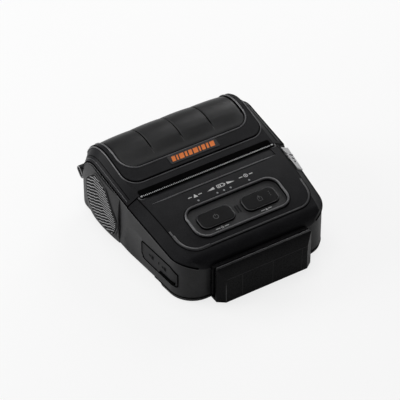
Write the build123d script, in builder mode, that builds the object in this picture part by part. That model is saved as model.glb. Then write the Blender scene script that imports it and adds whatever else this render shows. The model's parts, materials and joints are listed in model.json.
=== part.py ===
from build123d import *
from math import asin, atan2, cos, degrees, hypot, pi, radians, sin, sqrt
import os

# Portable receipt and label printer for 80 mm paper, with a card reader on its front.
# X runs along the paper slot, Y from the card reader to the hinge, Z up from the surface it lies on.

# Overall form
half_width = 50.0
front_half = 46.3
front_y = -50.2
rear_y = 56.7
wall = 2.0
bottom_round = 4.0
front_corner = 15.0
rear_corner = 9.0
heel_round = 17.0

# Control panel and nose
nose_z = 22.0
panel_front_y = -45.2
panel_front_z = 29.6
panel_middle_y = -20.5
panel_middle_z = 35.5
panel_half_front = 41.2
panel_half_rear = 44.0
panel_rise = 0.35
panel_corner = 11.0
ridge_y = -6.3
ridge_half = 39.3
ridge_depth = 0.4

# Paper slot
paper_width = 80.0
slot_y = 1.8
slot_gap = 2.7
slot_length = paper_width + 3.0
slot_top_z = 38.04
tear_z = 38.4
tear_depth = 1.7
tooth_pitch = 1.1

# Roll cover
crown_z = 25.4
crown_radius = 20.0
cover_rise = 0.7
rise_front_y = 11.0
pad_front_y = 20.0
pad_half = 39.4
pad_depth = 1.1
pad_proud = 0.35
rise_half = 43.2
shoulder_x = 43.5

# Seam between the lower casing and what lies on it
seam_front_z = 21.5
seam_bend_y = -36.0
seam_bend_z = 26.8
seam_slot_z = 34.2
seam_crown_z = 38.7
seam_rear_z = 25.7
seam_gap = 0.3
seam_land = 0.3

# Hinge
hinge_inset = 0.7
hinge_z = 13.5
hinge_pin_radius = 1.25
knuckle_radius = 2.9
cover_tail_half = 40.2
running = 0.1
play = 0.3

# Platen, thermal head and drive
platen_y = 8.4
platen_z = 28.5
platen_radius = 5.0
platen_half = 40.5
shaft_radius = 1.5
bush_radius = 3.0
gear_module = 0.5
platen_teeth = 18
small_teeth = 12
large_teeth = 30
pinion_teeth = 10
mesh_slack = 0.18
gear_width = 1.0
gear_gap = 0.15
plate_inner_x = 42.3
plate_thickness = 1.2
head_half = 40.0

# Latch and release lever
latch_y = -7.7
latch_z = 30.5
latch_angle = 10.0
lever_travel = 2.0
lever_front_y = -18.0
lever_inner_x = 45.7
lever_bottom_z = 27.6
lever_proud = 0.6

# Buttons
island_y = -28.8
island_width = 59.4
island_height = 22.0
island_corner = 7.5
island_depth = 0.9
button_x = 13.9
button_width = 21.0
button_height = 10.4
button_corner = 3.6
button_travel = 0.6
led_y = -15.6
led_x = (-16.1, -4.2, 0.0, 4.2, 16.1)

# Card reader
reader_half = 30.0
reader_plate_depth = 2.6
swipe_gap = 1.4
reader_face_y = -58.7
reader_top_z = 23.6
reader_bottom_z = 0.8
reader_chamfer_z = 16.8
reader_chamfer_y = 3.1
reader_chamfer_x = 4.2

# Battery
battery_width = 66.0
battery_depth = 26.0
battery_height = 15.0
battery_y = -30.0

os.makedirs("parts", exist_ok=True)


def finish(builder, label):
    builder.part.label = label
    export_step(builder.part, f"parts/{label}.step")


# The sloping front of the roll cover runs from the slot and touches its round back
crown_y = rear_y - crown_radius
hinge_y = rear_y - hinge_inset
slot_reach = hypot(crown_y - slot_y, crown_z - slot_top_z)
slope = asin(crown_radius / slot_reach) + atan2(crown_z - slot_top_z, crown_y - slot_y)
crown_start = (crown_y - crown_radius * sin(slope), crown_z + crown_radius * cos(slope))
taper = atan2(half_width - front_half, slot_y - front_y)


def front_top():
    # Side view over the nose and the panel, as far as the slot
    panel_front = (panel_front_y, panel_front_z)
    ThreePointArc((front_y, nose_z), (front_y + 1.2, panel_front_z - 2.9), panel_front)
    ThreePointArc(panel_front, (panel_middle_y, panel_middle_z), (slot_y, slot_top_z))
    return (slot_y, slot_top_z)


def rear_top():
    # Side view from the slot over the crown down to the rear seam
    Line((slot_y, slot_top_z), crown_start)
    rise = seam_rear_z - crown_z
    back = (crown_y + sqrt(crown_radius**2 - rise**2), seam_rear_z)
    middle_angle = (radians(90) + slope + atan2(rise, back[0] - crown_y)) / 2
    middle = (crown_y + crown_radius * cos(middle_angle), crown_z + crown_radius * sin(middle_angle))
    ThreePointArc(crown_start, middle, back)
    return back


def front_seam():
    # Side view of the seam up round the nose and along the flank, as far as the slot
    bend = (seam_bend_y, seam_bend_z)
    Spline((front_y, seam_front_z), (front_y + 4.6, seam_bend_z - 1.7), bend, tangents=((0.3, 1), (1, 0.2)))
    Line(bend, (slot_y, seam_slot_z))
    return (slot_y, seam_slot_z)


def rear_seam():
    # Side view of the seam from the slot to behind the grip
    Line((slot_y, seam_slot_z), (crown_y, seam_crown_z))
    radius = seam_crown_z - seam_rear_z
    middle = (crown_y + radius * sin(pi / 4), seam_rear_z + radius * sin(pi / 4))
    ThreePointArc((crown_y, seam_crown_z), middle, (crown_y + radius, seam_rear_z))
    return (crown_y + radius, seam_rear_z)


def seam_block(half, far_z, rise=0.0):
    # Everything between the seam and a far level over or under it
    with BuildPart() as block:
        with BuildSketch(Plane.YZ):
            with BuildLine():
                front_seam()
                end = rear_seam()
                Polyline(end, (rear_y + 10, end[1]), (rear_y + 10, far_z), (front_y - 10, far_z),
                         (front_y - 10, seam_front_z), (front_y, seam_front_z))
            make_face()
        extrude(amount=half, both=True)
    return block.part.moved(Location((0, 0, rise)))


def flank_plane(x, tilted):
    # A plane for side views at x beside the slot, turned inwards to the front where tilted
    turn = taper if tilted else 0
    along = Vector(sin(turn), cos(turn), 0)
    origin = Vector(x, slot_y, 0) - along * slot_y
    return Plane(origin=origin, x_dir=along, z_dir=(cos(turn), -sin(turn), 0))


def band_cutter(at_front):
    # Everything over the sloping band, from the top line at shoulder_x to the seam at the flank
    far_y = front_y - 10 if at_front else rear_y + 10
    top_side = front_top if at_front else rear_top
    seam_side = front_seam if at_front else rear_seam
    reach = half_width - shoulder_x
    with BuildPart() as cutter:
        for x, side in ((shoulder_x, top_side), (shoulder_x + reach, seam_side)):
            lift = seam_land if side is seam_side else 0
            with BuildSketch(flank_plane(x, at_front)):
                with BuildLine(mode=Mode.PRIVATE) as profile:
                    end = side()
                    start = (front_y, seam_front_z if lift else nose_z) if at_front else end
                    slot_end = end if at_front else (slot_y, seam_slot_z if lift else slot_top_z)
                    Polyline(slot_end, (slot_y, 70), (far_y, 70), (far_y, start[1]), start)
                add(profile.line.moved(Location((0, lift, 0))))
                make_face()
        loft(ruled=True)
        extrude(cutter.faces().sort_by(Axis.X)[-1], amount=10)
    return cutter.part


def shoulder_cutter(drop):
    # Both lengths of the right shoulder's cutter, lowered for the inside forms
    return (band_cutter(True) + band_cutter(False)).moved(Location((0, 0, -drop)))


def plan_outline(inset=0.0):
    # Plan view, narrower towards the nose, with round corners
    with BuildSketch() as plan:
        with BuildLine():
            Polyline((-front_half, front_y), (front_half, front_y), (half_width, slot_y), (half_width, rear_y),
                     (-half_width, rear_y), (-half_width, slot_y), close=True)
        make_face()
        fillet(plan.vertices().group_by(Axis.Y)[1], 60)
        fillet(plan.vertices().group_by(Axis.Y)[0], front_corner)
        fillet(plan.vertices().group_by(Axis.Y)[-1], rear_corner)
        if inset:
            offset(amount=-inset)
    return plan.sketch


def side_slab(inset, half):
    # The side view of the closed printer as a slab across X
    with BuildPart() as slab:
        with BuildSketch(Plane.YZ):
            with BuildLine():
                front_top()
                back = rear_top()
                heel = (rear_y, heel_round)
                heel_middle = (rear_y - heel_round * (1 - cos(pi / 4)), heel_round * (1 - sin(pi / 4)))
                Line(back, heel)
                ThreePointArc(heel, heel_middle, (rear_y - heel_round, 0))
                Polyline((rear_y - heel_round, 0), (front_y, 0), (front_y, nose_z))
            make_face()
            if inset:
                offset(amount=-inset, kind=Kind.INTERSECTION)
        extrude(amount=half, both=True)
    return slab.part


def casing_form(inset=0.0):
    # The whole closed outside of the printer, or the same form an even distance inside it
    plan = plan_outline(inset)
    right = shoulder_cutter(inset * 1.3)
    left = mirror(right, about=Plane.YZ)
    slab = side_slab(inset, half_width + 5)
    with BuildPart() as form:
        with BuildSketch(Plane.XY.offset(inset)):
            add(plan)
        extrude(amount=100)
        fillet(form.faces().sort_by(Axis.Z)[0].edges(), bottom_round - inset)
        add(slab, mode=Mode.INTERSECT)
        add(right, mode=Mode.SUBTRACT)
        add(left, mode=Mode.SUBTRACT)
    return form.part


def block(x, y, z, mode=Mode.ADD):
    # A box between the given limits along each axis
    with Locations(((x[0] + x[1]) / 2, (y[0] + y[1]) / 2, (z[0] + z[1]) / 2)):
        Box(x[1] - x[0], y[1] - y[0], z[1] - z[0], mode=mode)


def rod(radius, x, y, z, mode=Mode.ADD):
    # A round bar along X
    with Locations(Location(((x[0] + x[1]) / 2, y, z), (0, 90, 0))):
        Cylinder(radius, x[1] - x[0], mode=mode)


outside = casing_form()
inside = casing_form(wall)
wide = half_width + 10

# Lower casing: tub with round flanks, bulging grips and rear ears beside the cover's tail
grip_front_y = (9.6, 11.4)
grip_proud = 2.3
grip_radius = 120.0
grip_middle = (crown_y - 8.7, 19.0)
grip_foot_z = 2.2
pad_thickness = 1.0
pad_rise = 0.4
scoop_middle = (-10.0, 9.5)
scoop_reach = 12.8
port_bead = 0.65
scoop_depth = 1.2
port_y = (-42.2, -11.2)
port_z = (9.0, 20.2)
lever_y = (lever_front_y, slot_y - lever_travel - 1.2)
notch_y = (lever_y[0] - play, lever_y[1] + lever_travel + play)
battery_x = (-battery_width / 2, battery_width / 2)
battery_span = (battery_y - battery_depth / 2, battery_y + battery_depth / 2)
latch_button_half = 8.0
latch_button_depth = 6.0
latch_button_travel = 2.0
screw_places = ((-37.5, -38.5), (37.5, -38.5), (-45.1, crown_y + 1.3), (45.1, crown_y + 1.3))
screw_head_radius = 2.0
screw_radius = 1.2
post_radius = 2.8
board_z = 17.6
wall_top_z = hinge_z - knuckle_radius - 2 * play
tail_half = cover_tail_half + play
knuckle_x = (cover_tail_half - 10.5, cover_tail_half)


def grip_face():
    # Side view of the bulging grip zone, from its front crease round the rear
    radius = seam_crown_z - seam_rear_z - 1.2
    with BuildSketch() as side:
        with BuildLine():
            top = (crown_y, seam_crown_z - 1.2)
            back = (crown_y + radius, seam_rear_z)
            front_top_z = seam_slot_z - 0.6 + (grip_front_y[0] - slot_y) * 0.12
            Line((grip_front_y[0], front_top_z), top)
            bend = (crown_y + radius * sin(pi / 4), seam_rear_z + radius * sin(pi / 4))
            ThreePointArc(top, bend, back)
            Line(back, (back[0], 16))
            ThreePointArc((back[0], 16), (back[0] - 3.8, 6.2), (back[0] - 13, grip_foot_z))
            Polyline((back[0] - 13, grip_foot_z), (grip_front_y[1], grip_foot_z), (grip_front_y[0], front_top_z))
        make_face()
    return side.sketch


def pad_face(margin=0.0):
    # Leaf outline of the ribbed grip pad, blunt at the rear and pointed towards the front
    corners = ((-2.4, 36.0), (7.0, 27.0), (5.8, 12.5), (-5.0, 4.8), (-21.5, 4.8), (-26.4, 15.0), (-14.5, 33.0))
    with BuildSketch() as leaf:
        with BuildLine():
            Polyline(*[(crown_y + y, z) for y, z in corners], close=True)
        make_face()
        fillet(leaf.vertices(), 5.0)
        if margin:
            offset(amount=margin)
    return leaf.sketch


def port_face(margin=0.0):
    # Side view of the rubber cover over the sockets
    low, high = port_z
    front, rear = port_y
    with BuildSketch() as side:
        with BuildLine():
            Polyline((rear, high), (front + 5, high), (front, high - 3), (front, low - 0.5), (rear - 2.2, low),
                     (rear, low + 2.8), close=True)
        make_face()
        fillet(side.vertices(), 0.9)
        if margin:
            offset(amount=margin)
    return side.sketch


def strap_lug(side, margin=0.0):
    # Short flat tube for a strap cord, leaning back at a rear corner
    with BuildPart() as lug:
        with BuildSketch(Plane.YZ.offset(side * 48.0)):
            with Locations((rear_y + 0.1, 19.6)):
                SlotOverall(7.6 + 2 * margin, 3.9 + 2 * margin, rotation=45)
                if not margin:
                    SlotOverall(5.0, 1.5, rotation=45, mode=Mode.SUBTRACT)
        extrude(amount=-side * (6.0 + margin))
    return lug.part


def port_prism(margin=0.0):
    # The side view of the socket cover carried in from the left
    with BuildPart() as prism:
        with BuildSketch(Plane.YZ.offset(-half_width - 10)):
            add(port_face(margin))
        extrude(amount=24)
    return prism.part


def flank_prism(side, outline):
    # An outline seen from the side, carried outwards through the flank
    return extrude(Plane.YZ.offset(side * (half_width - 4)) * outline, side * 12)


def grip_ball(side, grow=0.0):
    # A large ball whose surface, grown outwards, swells one flank
    return Sphere(grip_radius + grow).moved(
        Location((side * (half_width + grip_proud - grip_radius), *grip_middle)))


def flank_x(y):
    # Distance of the flank from the middle, narrower ahead of the slot
    return half_width - max(0, slot_y - y) * sin(taper) / cos(taper)


def thumb_scoop():
    # Shallow round hollow behind the socket cover, where a fingernail lifts it
    radius = (scoop_reach**2 + scoop_depth**2) / (2 * scoop_depth)
    middle = Location((-flank_x(scoop_middle[0]) - radius + scoop_depth, *scoop_middle))
    zone = Box(20, 30, 60).moved(Location((-half_width, port_y[1] + 15.2, 30)))
    return Sphere(radius).moved(middle) & zone


pad_shape = pad_face()
port_notch = Box(24, 3.2, 4.2).moved(Location((-half_width + 2, port_y[1] - 1.35, port_z[0] + 1.85)))
port_seat = (port_prism(0.25) + port_notch) - casing_form(1.3)
over_seam = seam_block(wide, 70)
under_seam = seam_block(wide, -30, 0.1)
bulges = [flank_prism(side, grip_face()) & grip_ball(side) for side in (-1, 1)]
pad_seats = [flank_prism(side, pad_face(0.2)) - grip_ball(side, pad_rise - pad_thickness - 0.05) for side in (-1, 1)]
scoop = thumb_scoop()
rim_hole = extrude(plan_outline(wall), 40).moved(Location((0, 0, nose_z)))
lugs = [strap_lug(side) for side in (-1, 1)]
lug_seats = [strap_lug(side, 0.1) for side in (-1, 1)]

with BuildPart() as lower_casing:
    add(outside)
    add(over_seam, mode=Mode.SUBTRACT)
    add(bulges)
    add(inside, mode=Mode.SUBTRACT)
    add(rim_hole, mode=Mode.SUBTRACT)
    add(lug_seats, mode=Mode.SUBTRACT)
    add(pad_seats, mode=Mode.SUBTRACT)
    add(scoop, mode=Mode.SUBTRACT)
    block((-tail_half, tail_half), (rear_y - wall - 4, rear_y + 5), (wall_top_z, 60), mode=Mode.SUBTRACT)
    for side in (-1, 1):
        x = sorted((side * knuckle_x[0], side * knuckle_x[1]))
        block(x, (rear_y - wall, rear_y - 0.4), (wall_top_z - 1, hinge_z))
        rod(knuckle_radius, x, hinge_y, hinge_z)
        rod(hinge_pin_radius + 0.02, x, hinge_y, hinge_z, mode=Mode.SUBTRACT)
    with Locations(*[(x, y, wall - 0.5) for x, y in screw_places[:2]]):
        Cylinder(post_radius, board_z - wall + 0.5, align=(Align.CENTER, Align.CENTER, Align.MIN))
    with Locations(*[(x, y, wall - 0.5) for x, y in screw_places[2:]]):
        Cylinder(post_radius, 12, align=(Align.CENTER, Align.CENTER, Align.MIN))
    with Locations(*[(x, y, 0) for x, y in screw_places]):
        Cylinder(screw_radius + 0.1, 12, align=(Align.CENTER, Align.CENTER, Align.MIN), mode=Mode.SUBTRACT)
        Cylinder(screw_head_radius + 0.2, 1.5, align=(Align.CENTER, Align.CENTER, Align.MIN),
                 mode=Mode.SUBTRACT)
    # Battery bay and its catch in the floor
    block((battery_x[0] - play, battery_x[1] + play), (battery_span[0] - play, battery_span[1] + play),
          (-1, wall + 1), mode=Mode.SUBTRACT)
    block((-latch_button_half - play, latch_button_half + play),
          (battery_span[1], battery_span[1] + latch_button_depth + latch_button_travel + 2 * play),
          (-1, wall + 1), mode=Mode.SUBTRACT)
    # Notch for the release lever, seat of the socket cover and the window behind it
    block((lever_inner_x - play, half_width + 5), notch_y, (lever_bottom_z - play, 45), mode=Mode.SUBTRACT)
    add(port_seat, mode=Mode.SUBTRACT)
    block((-half_width - 2, -half_width + 6), (-38, -18), (board_z - 6.2, board_z + 0.8), mode=Mode.SUBTRACT)
finish(lower_casing, "lower_casing")

for side, name in ((-1, "left"), (1, "right")):
    pad_skin = flank_prism(side, pad_shape) & grip_ball(side, pad_rise)
    pad_skin = pad_skin - grip_ball(side, pad_rise - pad_thickness)
    with BuildPart() as grip_pad:
        add(pad_skin)
    finish(grip_pad, f"grip_pad_{name}")

# Rubber cover over the charging and data sockets, bent round the front corner
port_outer = casing_form(-0.15)
port_inner = casing_form(1.1)
port_block = port_prism() & port_outer
port_hinge_y = port_y[1] - 0.5
port_hinge_x = -flank_x(port_hinge_y) + 0.35
with BuildPart() as port_cover:
    add(port_block)
    add(port_inner, mode=Mode.SUBTRACT)
    with Locations((port_hinge_x, port_hinge_y, (port_z[0] + port_z[1]) / 2 + 0.7)):
        Cylinder(port_bead, port_z[1] - port_z[0] - 5)
finish(port_cover, "port_cover")

with BuildPart() as usb_socket:
    block((-45.4, -40), (-36.4, -29.0), (board_z - 3.0, board_z))
    block((-47, -42), (-35.8, -29.6), (board_z - 2.5, board_z - 0.6), mode=Mode.SUBTRACT)
finish(usb_socket, "usb_socket")

with BuildPart() as dc_jack:
    block((-46.0, -38.0), (-27.0, -19.5), (board_z - 6.0, board_z))
    rod(2.3, (-47, -40), -23.2, board_z - 3.0, mode=Mode.SUBTRACT)
    rod(0.6, (-45.5, -39.5), -23.2, board_z - 3.0)
finish(dc_jack, "dc_jack")

with BuildPart() as main_board:
    with BuildSketch(Plane.XY.offset(board_z)) as outline:
        with Locations((0, -32.3)):
            Rectangle(84, 25.4)
        fillet(outline.vertices().group_by(Axis.Y)[0], 10)
    extrude(amount=1.4)
    # Processor, memory and a connector
    block((-27, -13), (-39, -25), (board_z + 1.4, board_z + 2.8))
    block((-2, 8), (-38, -28), (board_z + 1.4, board_z + 2.6))
    block((16, 28), (-25, -21), (board_z + 1.4, board_z + 4.4))
    with Locations(*[(x, y, board_z) for x, y in screw_places[:2]]):
        Cylinder(screw_radius + 0.1, 6, mode=Mode.SUBTRACT)
finish(main_board, "main_board")

with BuildPart() as base_screws:
    with Locations(*[(x, y, 0.3) for x, y in screw_places]):
        Cylinder(screw_head_radius, 1.2, align=(Align.CENTER, Align.CENTER, Align.MIN))
        Cylinder(screw_radius, 10.4, align=(Align.CENTER, Align.CENTER, Align.MIN))
finish(base_screws, "base_screws")

# Battery pack under the board, its contacts and its sliding catch
battery_z = (0.4, 0.4 + battery_height)
with BuildPart() as battery_pack:
    block(battery_x, battery_span, battery_z)
    fillet(battery_pack.edges().filter_by(Axis.Z), 1.0)
    chamfer(battery_pack.faces().sort_by(Axis.Z)[-1].edges(), 0.8)
    block((-latch_button_half - 1, latch_button_half + 1), (battery_span[1] - 1.4, battery_span[1] + 1),
          (2.0, 4.2), mode=Mode.SUBTRACT)
    with GridLocations(0, 2.4, 1, 6):
        with Locations((0, battery_y + 4.0, battery_z[0])):
            Box(26, 1.0, 0.8, mode=Mode.SUBTRACT)
finish(battery_pack, "battery_pack")

with BuildPart() as battery_contacts:
    block((-6, 6), (-22.4, -19.4), (battery_z[1] + 0.1, board_z))
finish(battery_contacts, "battery_contacts")

catch_y = battery_span[1] + play
with BuildPart() as battery_latch:
    block((-latch_button_half, latch_button_half), (catch_y, catch_y + latch_button_depth), (0.4, 3.4))
    block((-latch_button_half - 2, latch_button_half + 2), (catch_y + 0.2, catch_y + latch_button_depth + 0.6),
          (wall + 0.1, 3.4))
    block((-latch_button_half + 1, latch_button_half - 1), (catch_y - 1.2, catch_y + 1), (2.3, 3.4))
    with Locations(*[(0, catch_y + 1.4 + 1.6 * i, 0.4) for i in range(3)]):
        Box(12, 0.8, 0.8, mode=Mode.SUBTRACT)
finish(battery_latch, "battery_latch")

# Front casing: control panel, shoulders and nose over the front of the lower casing
panel_y = panel_front_y + 1.2
edge_y = slot_y - tear_depth
island_slope = degrees(atan2(panel_middle_z - panel_front_z, panel_middle_y - panel_front_y)) - 1.5


def panel_height(y):
    # Height of the panel's surface, from the circle through its three points
    ax, az = panel_front_y, panel_front_z
    bx, bz = panel_middle_y, panel_middle_z
    cx, cz = slot_y, slot_top_z
    d = 2 * (ax * (bz - cz) + bx * (cz - az) + cx * (az - bz))
    sa, sb, sc = ax**2 + az**2, bx**2 + bz**2, cx**2 + cz**2
    centre_y = (sa * (bz - cz) + sb * (cz - az) + sc * (az - bz)) / d
    centre_z = (sa * (cx - bx) + sb * (ax - cx) + sc * (bx - ax)) / d
    radius = hypot(ax - centre_y, az - centre_z)
    return centre_z + sqrt(radius**2 - (y - centre_y) ** 2)


panel_plane = Plane(origin=(0, island_y, panel_height(island_y) + panel_rise), x_dir=(1, 0, 0),
                    z_dir=(0, -sin(radians(island_slope)), cos(radians(island_slope))))
board_drop = wall + 4.2
flange_drop = wall + 1.9
key_board_plane = panel_plane.offset(-board_drop)
button_places = ((-button_x, -0.6), (button_x, -0.6))


def panel_outline():
    # Plan of the raised panel, narrower and rounded at its front
    with BuildSketch(Plane.XY) as plan:
        with BuildLine():
            Polyline((-panel_half_front, panel_y), (panel_half_front, panel_y), (panel_half_rear, slot_y + 3),
                     (-panel_half_rear, slot_y + 3), close=True)
        make_face()
        fillet(plan.vertices().group_by(Axis.Y)[0], panel_corner)
    return plan.sketch


led_points = [(x, (led_y - island_y) / cos(radians(island_slope))) for x in led_x]

panel_shape = panel_outline()
teeth_count = int((slot_length - 2) / tooth_pitch)
tear_half = teeth_count * tooth_pitch / 2
with BuildPart() as skirt_block:
    block((-tear_half, tear_half), (edge_y - 1.5, edge_y), (35.3, 60))
skirt = skirt_block.part & outside
plateau = extrude(panel_shape, 70) & side_slab(-panel_rise, half_width)
# Behind its ridge the panel lies a little lower, as far as the tear bar
ridge_zone = Box(2 * ridge_half, slot_y - ridge_y, 60).moved(Location((0, (slot_y + ridge_y) / 2, 40)))
ridge_cut = ridge_zone - side_slab(ridge_depth - panel_rise, half_width)

with BuildPart() as front_casing:
    add(outside)
    add(plateau)
    add(under_seam, mode=Mode.SUBTRACT)
    block((-wide, wide), (slot_y - 0.15, rear_y + 5), (0, 70), mode=Mode.SUBTRACT)
    block((-tear_half - 0.1, tear_half + 0.1), (edge_y, rear_y + 5), (0, 70), mode=Mode.SUBTRACT)
    add(inside, mode=Mode.SUBTRACT)
    add(ridge_cut, mode=Mode.SUBTRACT)
    block((lever_inner_x - play, half_width + 5), notch_y, (lever_bottom_z - play, 60), mode=Mode.SUBTRACT)
    add(skirt)
    # Lip and floor of the button recess
    with BuildSketch(panel_plane.offset(-1.0)):
        RectangleRounded(island_width, island_height, island_corner)
    extrude(amount=1.6)
    with BuildSketch(panel_plane.offset(1)):
        RectangleRounded(island_width - 2.4, island_height - 2.4, island_corner - 1.2)
    extrude(amount=-1 - island_depth, mode=Mode.SUBTRACT)
    with BuildSketch(panel_plane.offset(-island_depth - 1.3)):
        RectangleRounded(island_width - 2.4, island_height - 2.4, island_corner - 1.2)
    extrude(amount=1.3)
    with BuildSketch(panel_plane.offset(5)):
        with Locations(*button_places):
            RectangleRounded(button_width + 2 * play, button_height + 2 * play, button_corner + play)
    extrude(amount=-12, mode=Mode.SUBTRACT)
    with BuildSketch(panel_plane.offset(5)):
        with Locations(*led_points):
            Circle(0.6)
    extrude(amount=-12, mode=Mode.SUBTRACT)
    with BuildSketch(panel_plane.offset(-island_depth - 0.2)):
        with Locations((-0.75, -0.6), (0.75, -0.6)):
            SlotOverall(5, 0.6, rotation=90)
    extrude(amount=0.55)
    # Posts down to the key board
    with BuildSketch(key_board_plane.offset(1.0)):
        with Locations((-27.5, 8.4), (27.5, 8.4), (0, 8.4), (-27.5, -8.4), (27.5, -8.4)):
            Circle(1.3)
    extrude(amount=board_drop - 2.4)
finish(front_casing, "front_casing")

for (x, y), name in zip(button_places, ("power", "feed")):
    with BuildPart() as button:
        with BuildSketch(panel_plane.offset(-flange_drop)):
            with Locations((x, y)):
                RectangleRounded(button_width, button_height, button_corner)
        extrude(amount=flange_drop + 0.3)
        chamfer(button.faces().sort_by(Axis.Z)[-1].edges(), 0.6)
        with BuildSketch(panel_plane.offset(-flange_drop)):
            with Locations((x, y)):
                RectangleRounded(button_width + 1.6, button_height + 1.6, button_corner + 0.8)
        extrude(amount=1.3)
    finish(button, f"{name}_button")

with BuildPart() as key_board:
    with BuildSketch(key_board_plane):
        with Locations((0, 1.0)):
            RectangleRounded(60, 21.5, 3)
    extrude(amount=1.0)
    with BuildSketch(key_board_plane.offset(1.0)):
        with Locations(*button_places):
            Rectangle(4, 4)
    extrude(amount=0.6)
finish(key_board, "key_board")

with BuildPart() as led_lenses:
    for point in led_points:
        drop = panel_height(led_y) - panel_plane.from_local_coords((point[0], point[1], 0)).Z + panel_rise
        with BuildSketch(key_board_plane.offset(1.0)):
            with Locations(point):
                Circle(0.55)
        extrude(amount=board_drop - 1.0 + drop)
finish(led_lenses, "led_lenses")

# Serrated tear bar along the front edge of the slot
with BuildPart() as tear_bar:
    with BuildSketch(Plane.XZ.offset(-slot_y)):
        with BuildLine():
            start = -tear_half
            low = tear_z - 0.7
            points = [(start, low)]
            for i in range(teeth_count):
                points.append((start + (i + 0.5) * tooth_pitch, tear_z))
                points.append((start + (i + 1) * tooth_pitch, low))
            Polyline(*points, (-start, tear_z - 3.0), (start, tear_z - 3.0), close=True)
        make_face()
    extrude(amount=0.6)
    block((start, -start), (edge_y + 0.05, slot_y - 0.5), (tear_z - 3.0, low))
finish(tear_bar, "tear_bar")

# Roll cover: a shell raised round a rubber pad, with a comb along the slot
cover_front_y = slot_y + 0.15
comb_y = slot_y + slot_gap
raised_form = casing_form(-cover_rise)
comb_pitch = 9.7


under_cover_block = seam_block(wide, -30, seam_gap)


def beyond_cover():
    # What the cover is cut away by: under the seam but for its tail, and ahead of the slot
    with BuildPart() as zone:
        add(under_cover_block)
        block((-cover_tail_half, cover_tail_half), (rear_y - 12, rear_y + 12),
              (hinge_z + knuckle_radius + 0.2, seam_rear_z + 3), mode=Mode.SUBTRACT)
        block((-wide, wide), (-100, cover_front_y), (-30, 80))
        block((-slot_length / 2, slot_length / 2), (-100, comb_y), (-30, 80))
    return zone.part


def rounded_tongue(half, front, corner):
    # Plan of a raised or sunk field that runs off the back of the cover
    with BuildSketch() as plan:
        with BuildLine():
            Polyline((-half, front), (half, front), (half, rear_y + 20), (-half, rear_y + 20), close=True)
        make_face()
        fillet(plan.vertices().group_by(Axis.Y)[0], corner)
    return plan.sketch


cover_cut = beyond_cover()
pad_low_z = 20.0
badge_half = 15.5
badge_y = (12.8, 18.4)
liner_half = 44.6
tongue = extrude(rounded_tongue(rise_half, rise_front_y, 8), 80)
pad_hole = extrude(rounded_tongue(pad_half + 0.5, pad_front_y - 0.5, 9.5), 80).moved(
    Location((0, 0, pad_low_z - 0.5)))
pad_prism = extrude(rounded_tongue(pad_half, pad_front_y, 9), 80).moved(Location((0, 0, pad_low_z)))
cover_top = casing_form(-cover_rise) & tongue
pad_recess = pad_hole - side_slab(pad_depth - cover_rise, half_width)
with BuildPart() as comb_form:
    block((-slot_length / 2, slot_length / 2), (comb_y, comb_y + 1.6), (34.5, 60))
    for i in range(-3, 4):
        block((i * comb_pitch - 0.6, i * comb_pitch + 0.6), (comb_y - 0.5, comb_y + 0.5), (34.5, 60))
    for side in (-1, 1):
        x = sorted((side * (slot_length / 2 - 0.1), side * (slot_length / 2 + 1.5)))
        block(x, (cover_front_y + 0.15, comb_y + 1.6), (35.6, 60))
comb = comb_form.part & side_slab(0, half_width)
barrel = (-knuckle_x[0] + play, knuckle_x[0] - play)

with BuildPart() as lid_shell:
    add(outside)
    add(cover_top)
    add(cover_cut, mode=Mode.SUBTRACT)
    add(inside, mode=Mode.SUBTRACT)
    add(comb)
    block(barrel, (rear_y - wall, rear_y), (hinge_z, hinge_z + knuckle_radius + 1.4))
    rod(knuckle_radius, barrel, hinge_y, hinge_z)
    rod(hinge_pin_radius + running, barrel, hinge_y, hinge_z, mode=Mode.SUBTRACT)
    add(pad_recess, mode=Mode.SUBTRACT)
finish(lid_shell, "lid_shell")

# Rubber pad over the crown, with three grooves that narrow towards the front
pad_top = cover_rise - pad_proud
pad_body = (side_slab(-pad_top, pad_half) & pad_prism) - side_slab(pad_depth - cover_rise - 0.05, half_width)
groove_floor = side_slab(-pad_top + 0.4, half_width)
groove_y = pad_front_y + 4.5
with BuildPart() as groove_form:
    with BuildSketch(Plane.XY.offset(pad_low_z + 2)):
        for x in (-19.3, 0, 19.3):
            with BuildLine():
                Polyline((x, groove_y), (x + 0.5, groove_y + 5), (x + 0.5, rear_y + 5), (x - 0.5, rear_y + 5),
                         (x - 0.5, groove_y + 5), close=True)
            make_face()
    extrude(amount=40)
grooves = groove_form.part - groove_floor

with BuildPart() as lid_pad:
    add(pad_body)
    add(grooves, mode=Mode.SUBTRACT)
finish(lid_pad, "lid_pad")

# Thin name plate without any marking, glued in front of the pad
plate_body = side_slab(-cover_rise - 0.3, badge_half) - side_slab(-cover_rise - 0.03, half_width)
with BuildPart() as name_plate:
    add(plate_body)
    block((-badge_half, badge_half), badge_y, (25, 60), mode=Mode.INTERSECT)
    fillet(name_plate.edges().filter_by(Axis.Z), 0.8)
finish(name_plate, "name_plate")

# Liner under the cover, with two arms that carry the platen
liner_skin = casing_form(wall + 0.3) - casing_form(wall + 1.4)
under_liner = seam_block(wide, -30, 0.8)
with BuildPart() as arm_form:
    for side in (-1, 1):
        x = sorted((side * (liner_half - 0.8), side * liner_half))
        block(x, (platen_y - 3.2, platen_y + 5), (platen_z, 45))
        rod(3.2, x, platen_y, platen_z)
arms = arm_form.part & casing_form(wall + 0.35)

with BuildPart() as lid_liner:
    add(liner_skin)
    add(under_liner, mode=Mode.SUBTRACT)
    block((-liner_half, liner_half), (-60, 80), (-30, 80), mode=Mode.INTERSECT)
    block((-wide, wide), (-60, comb_y + 1.9), (0, 60), mode=Mode.SUBTRACT)
    block((-wide, wide), (0, 60), (0, seam_rear_z + 0.8), mode=Mode.SUBTRACT)
    add(arms)
    rod(shaft_radius + 0.1, (-wide, wide), platen_y, platen_z, mode=Mode.SUBTRACT)
finish(lid_liner, "lid_liner")

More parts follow.
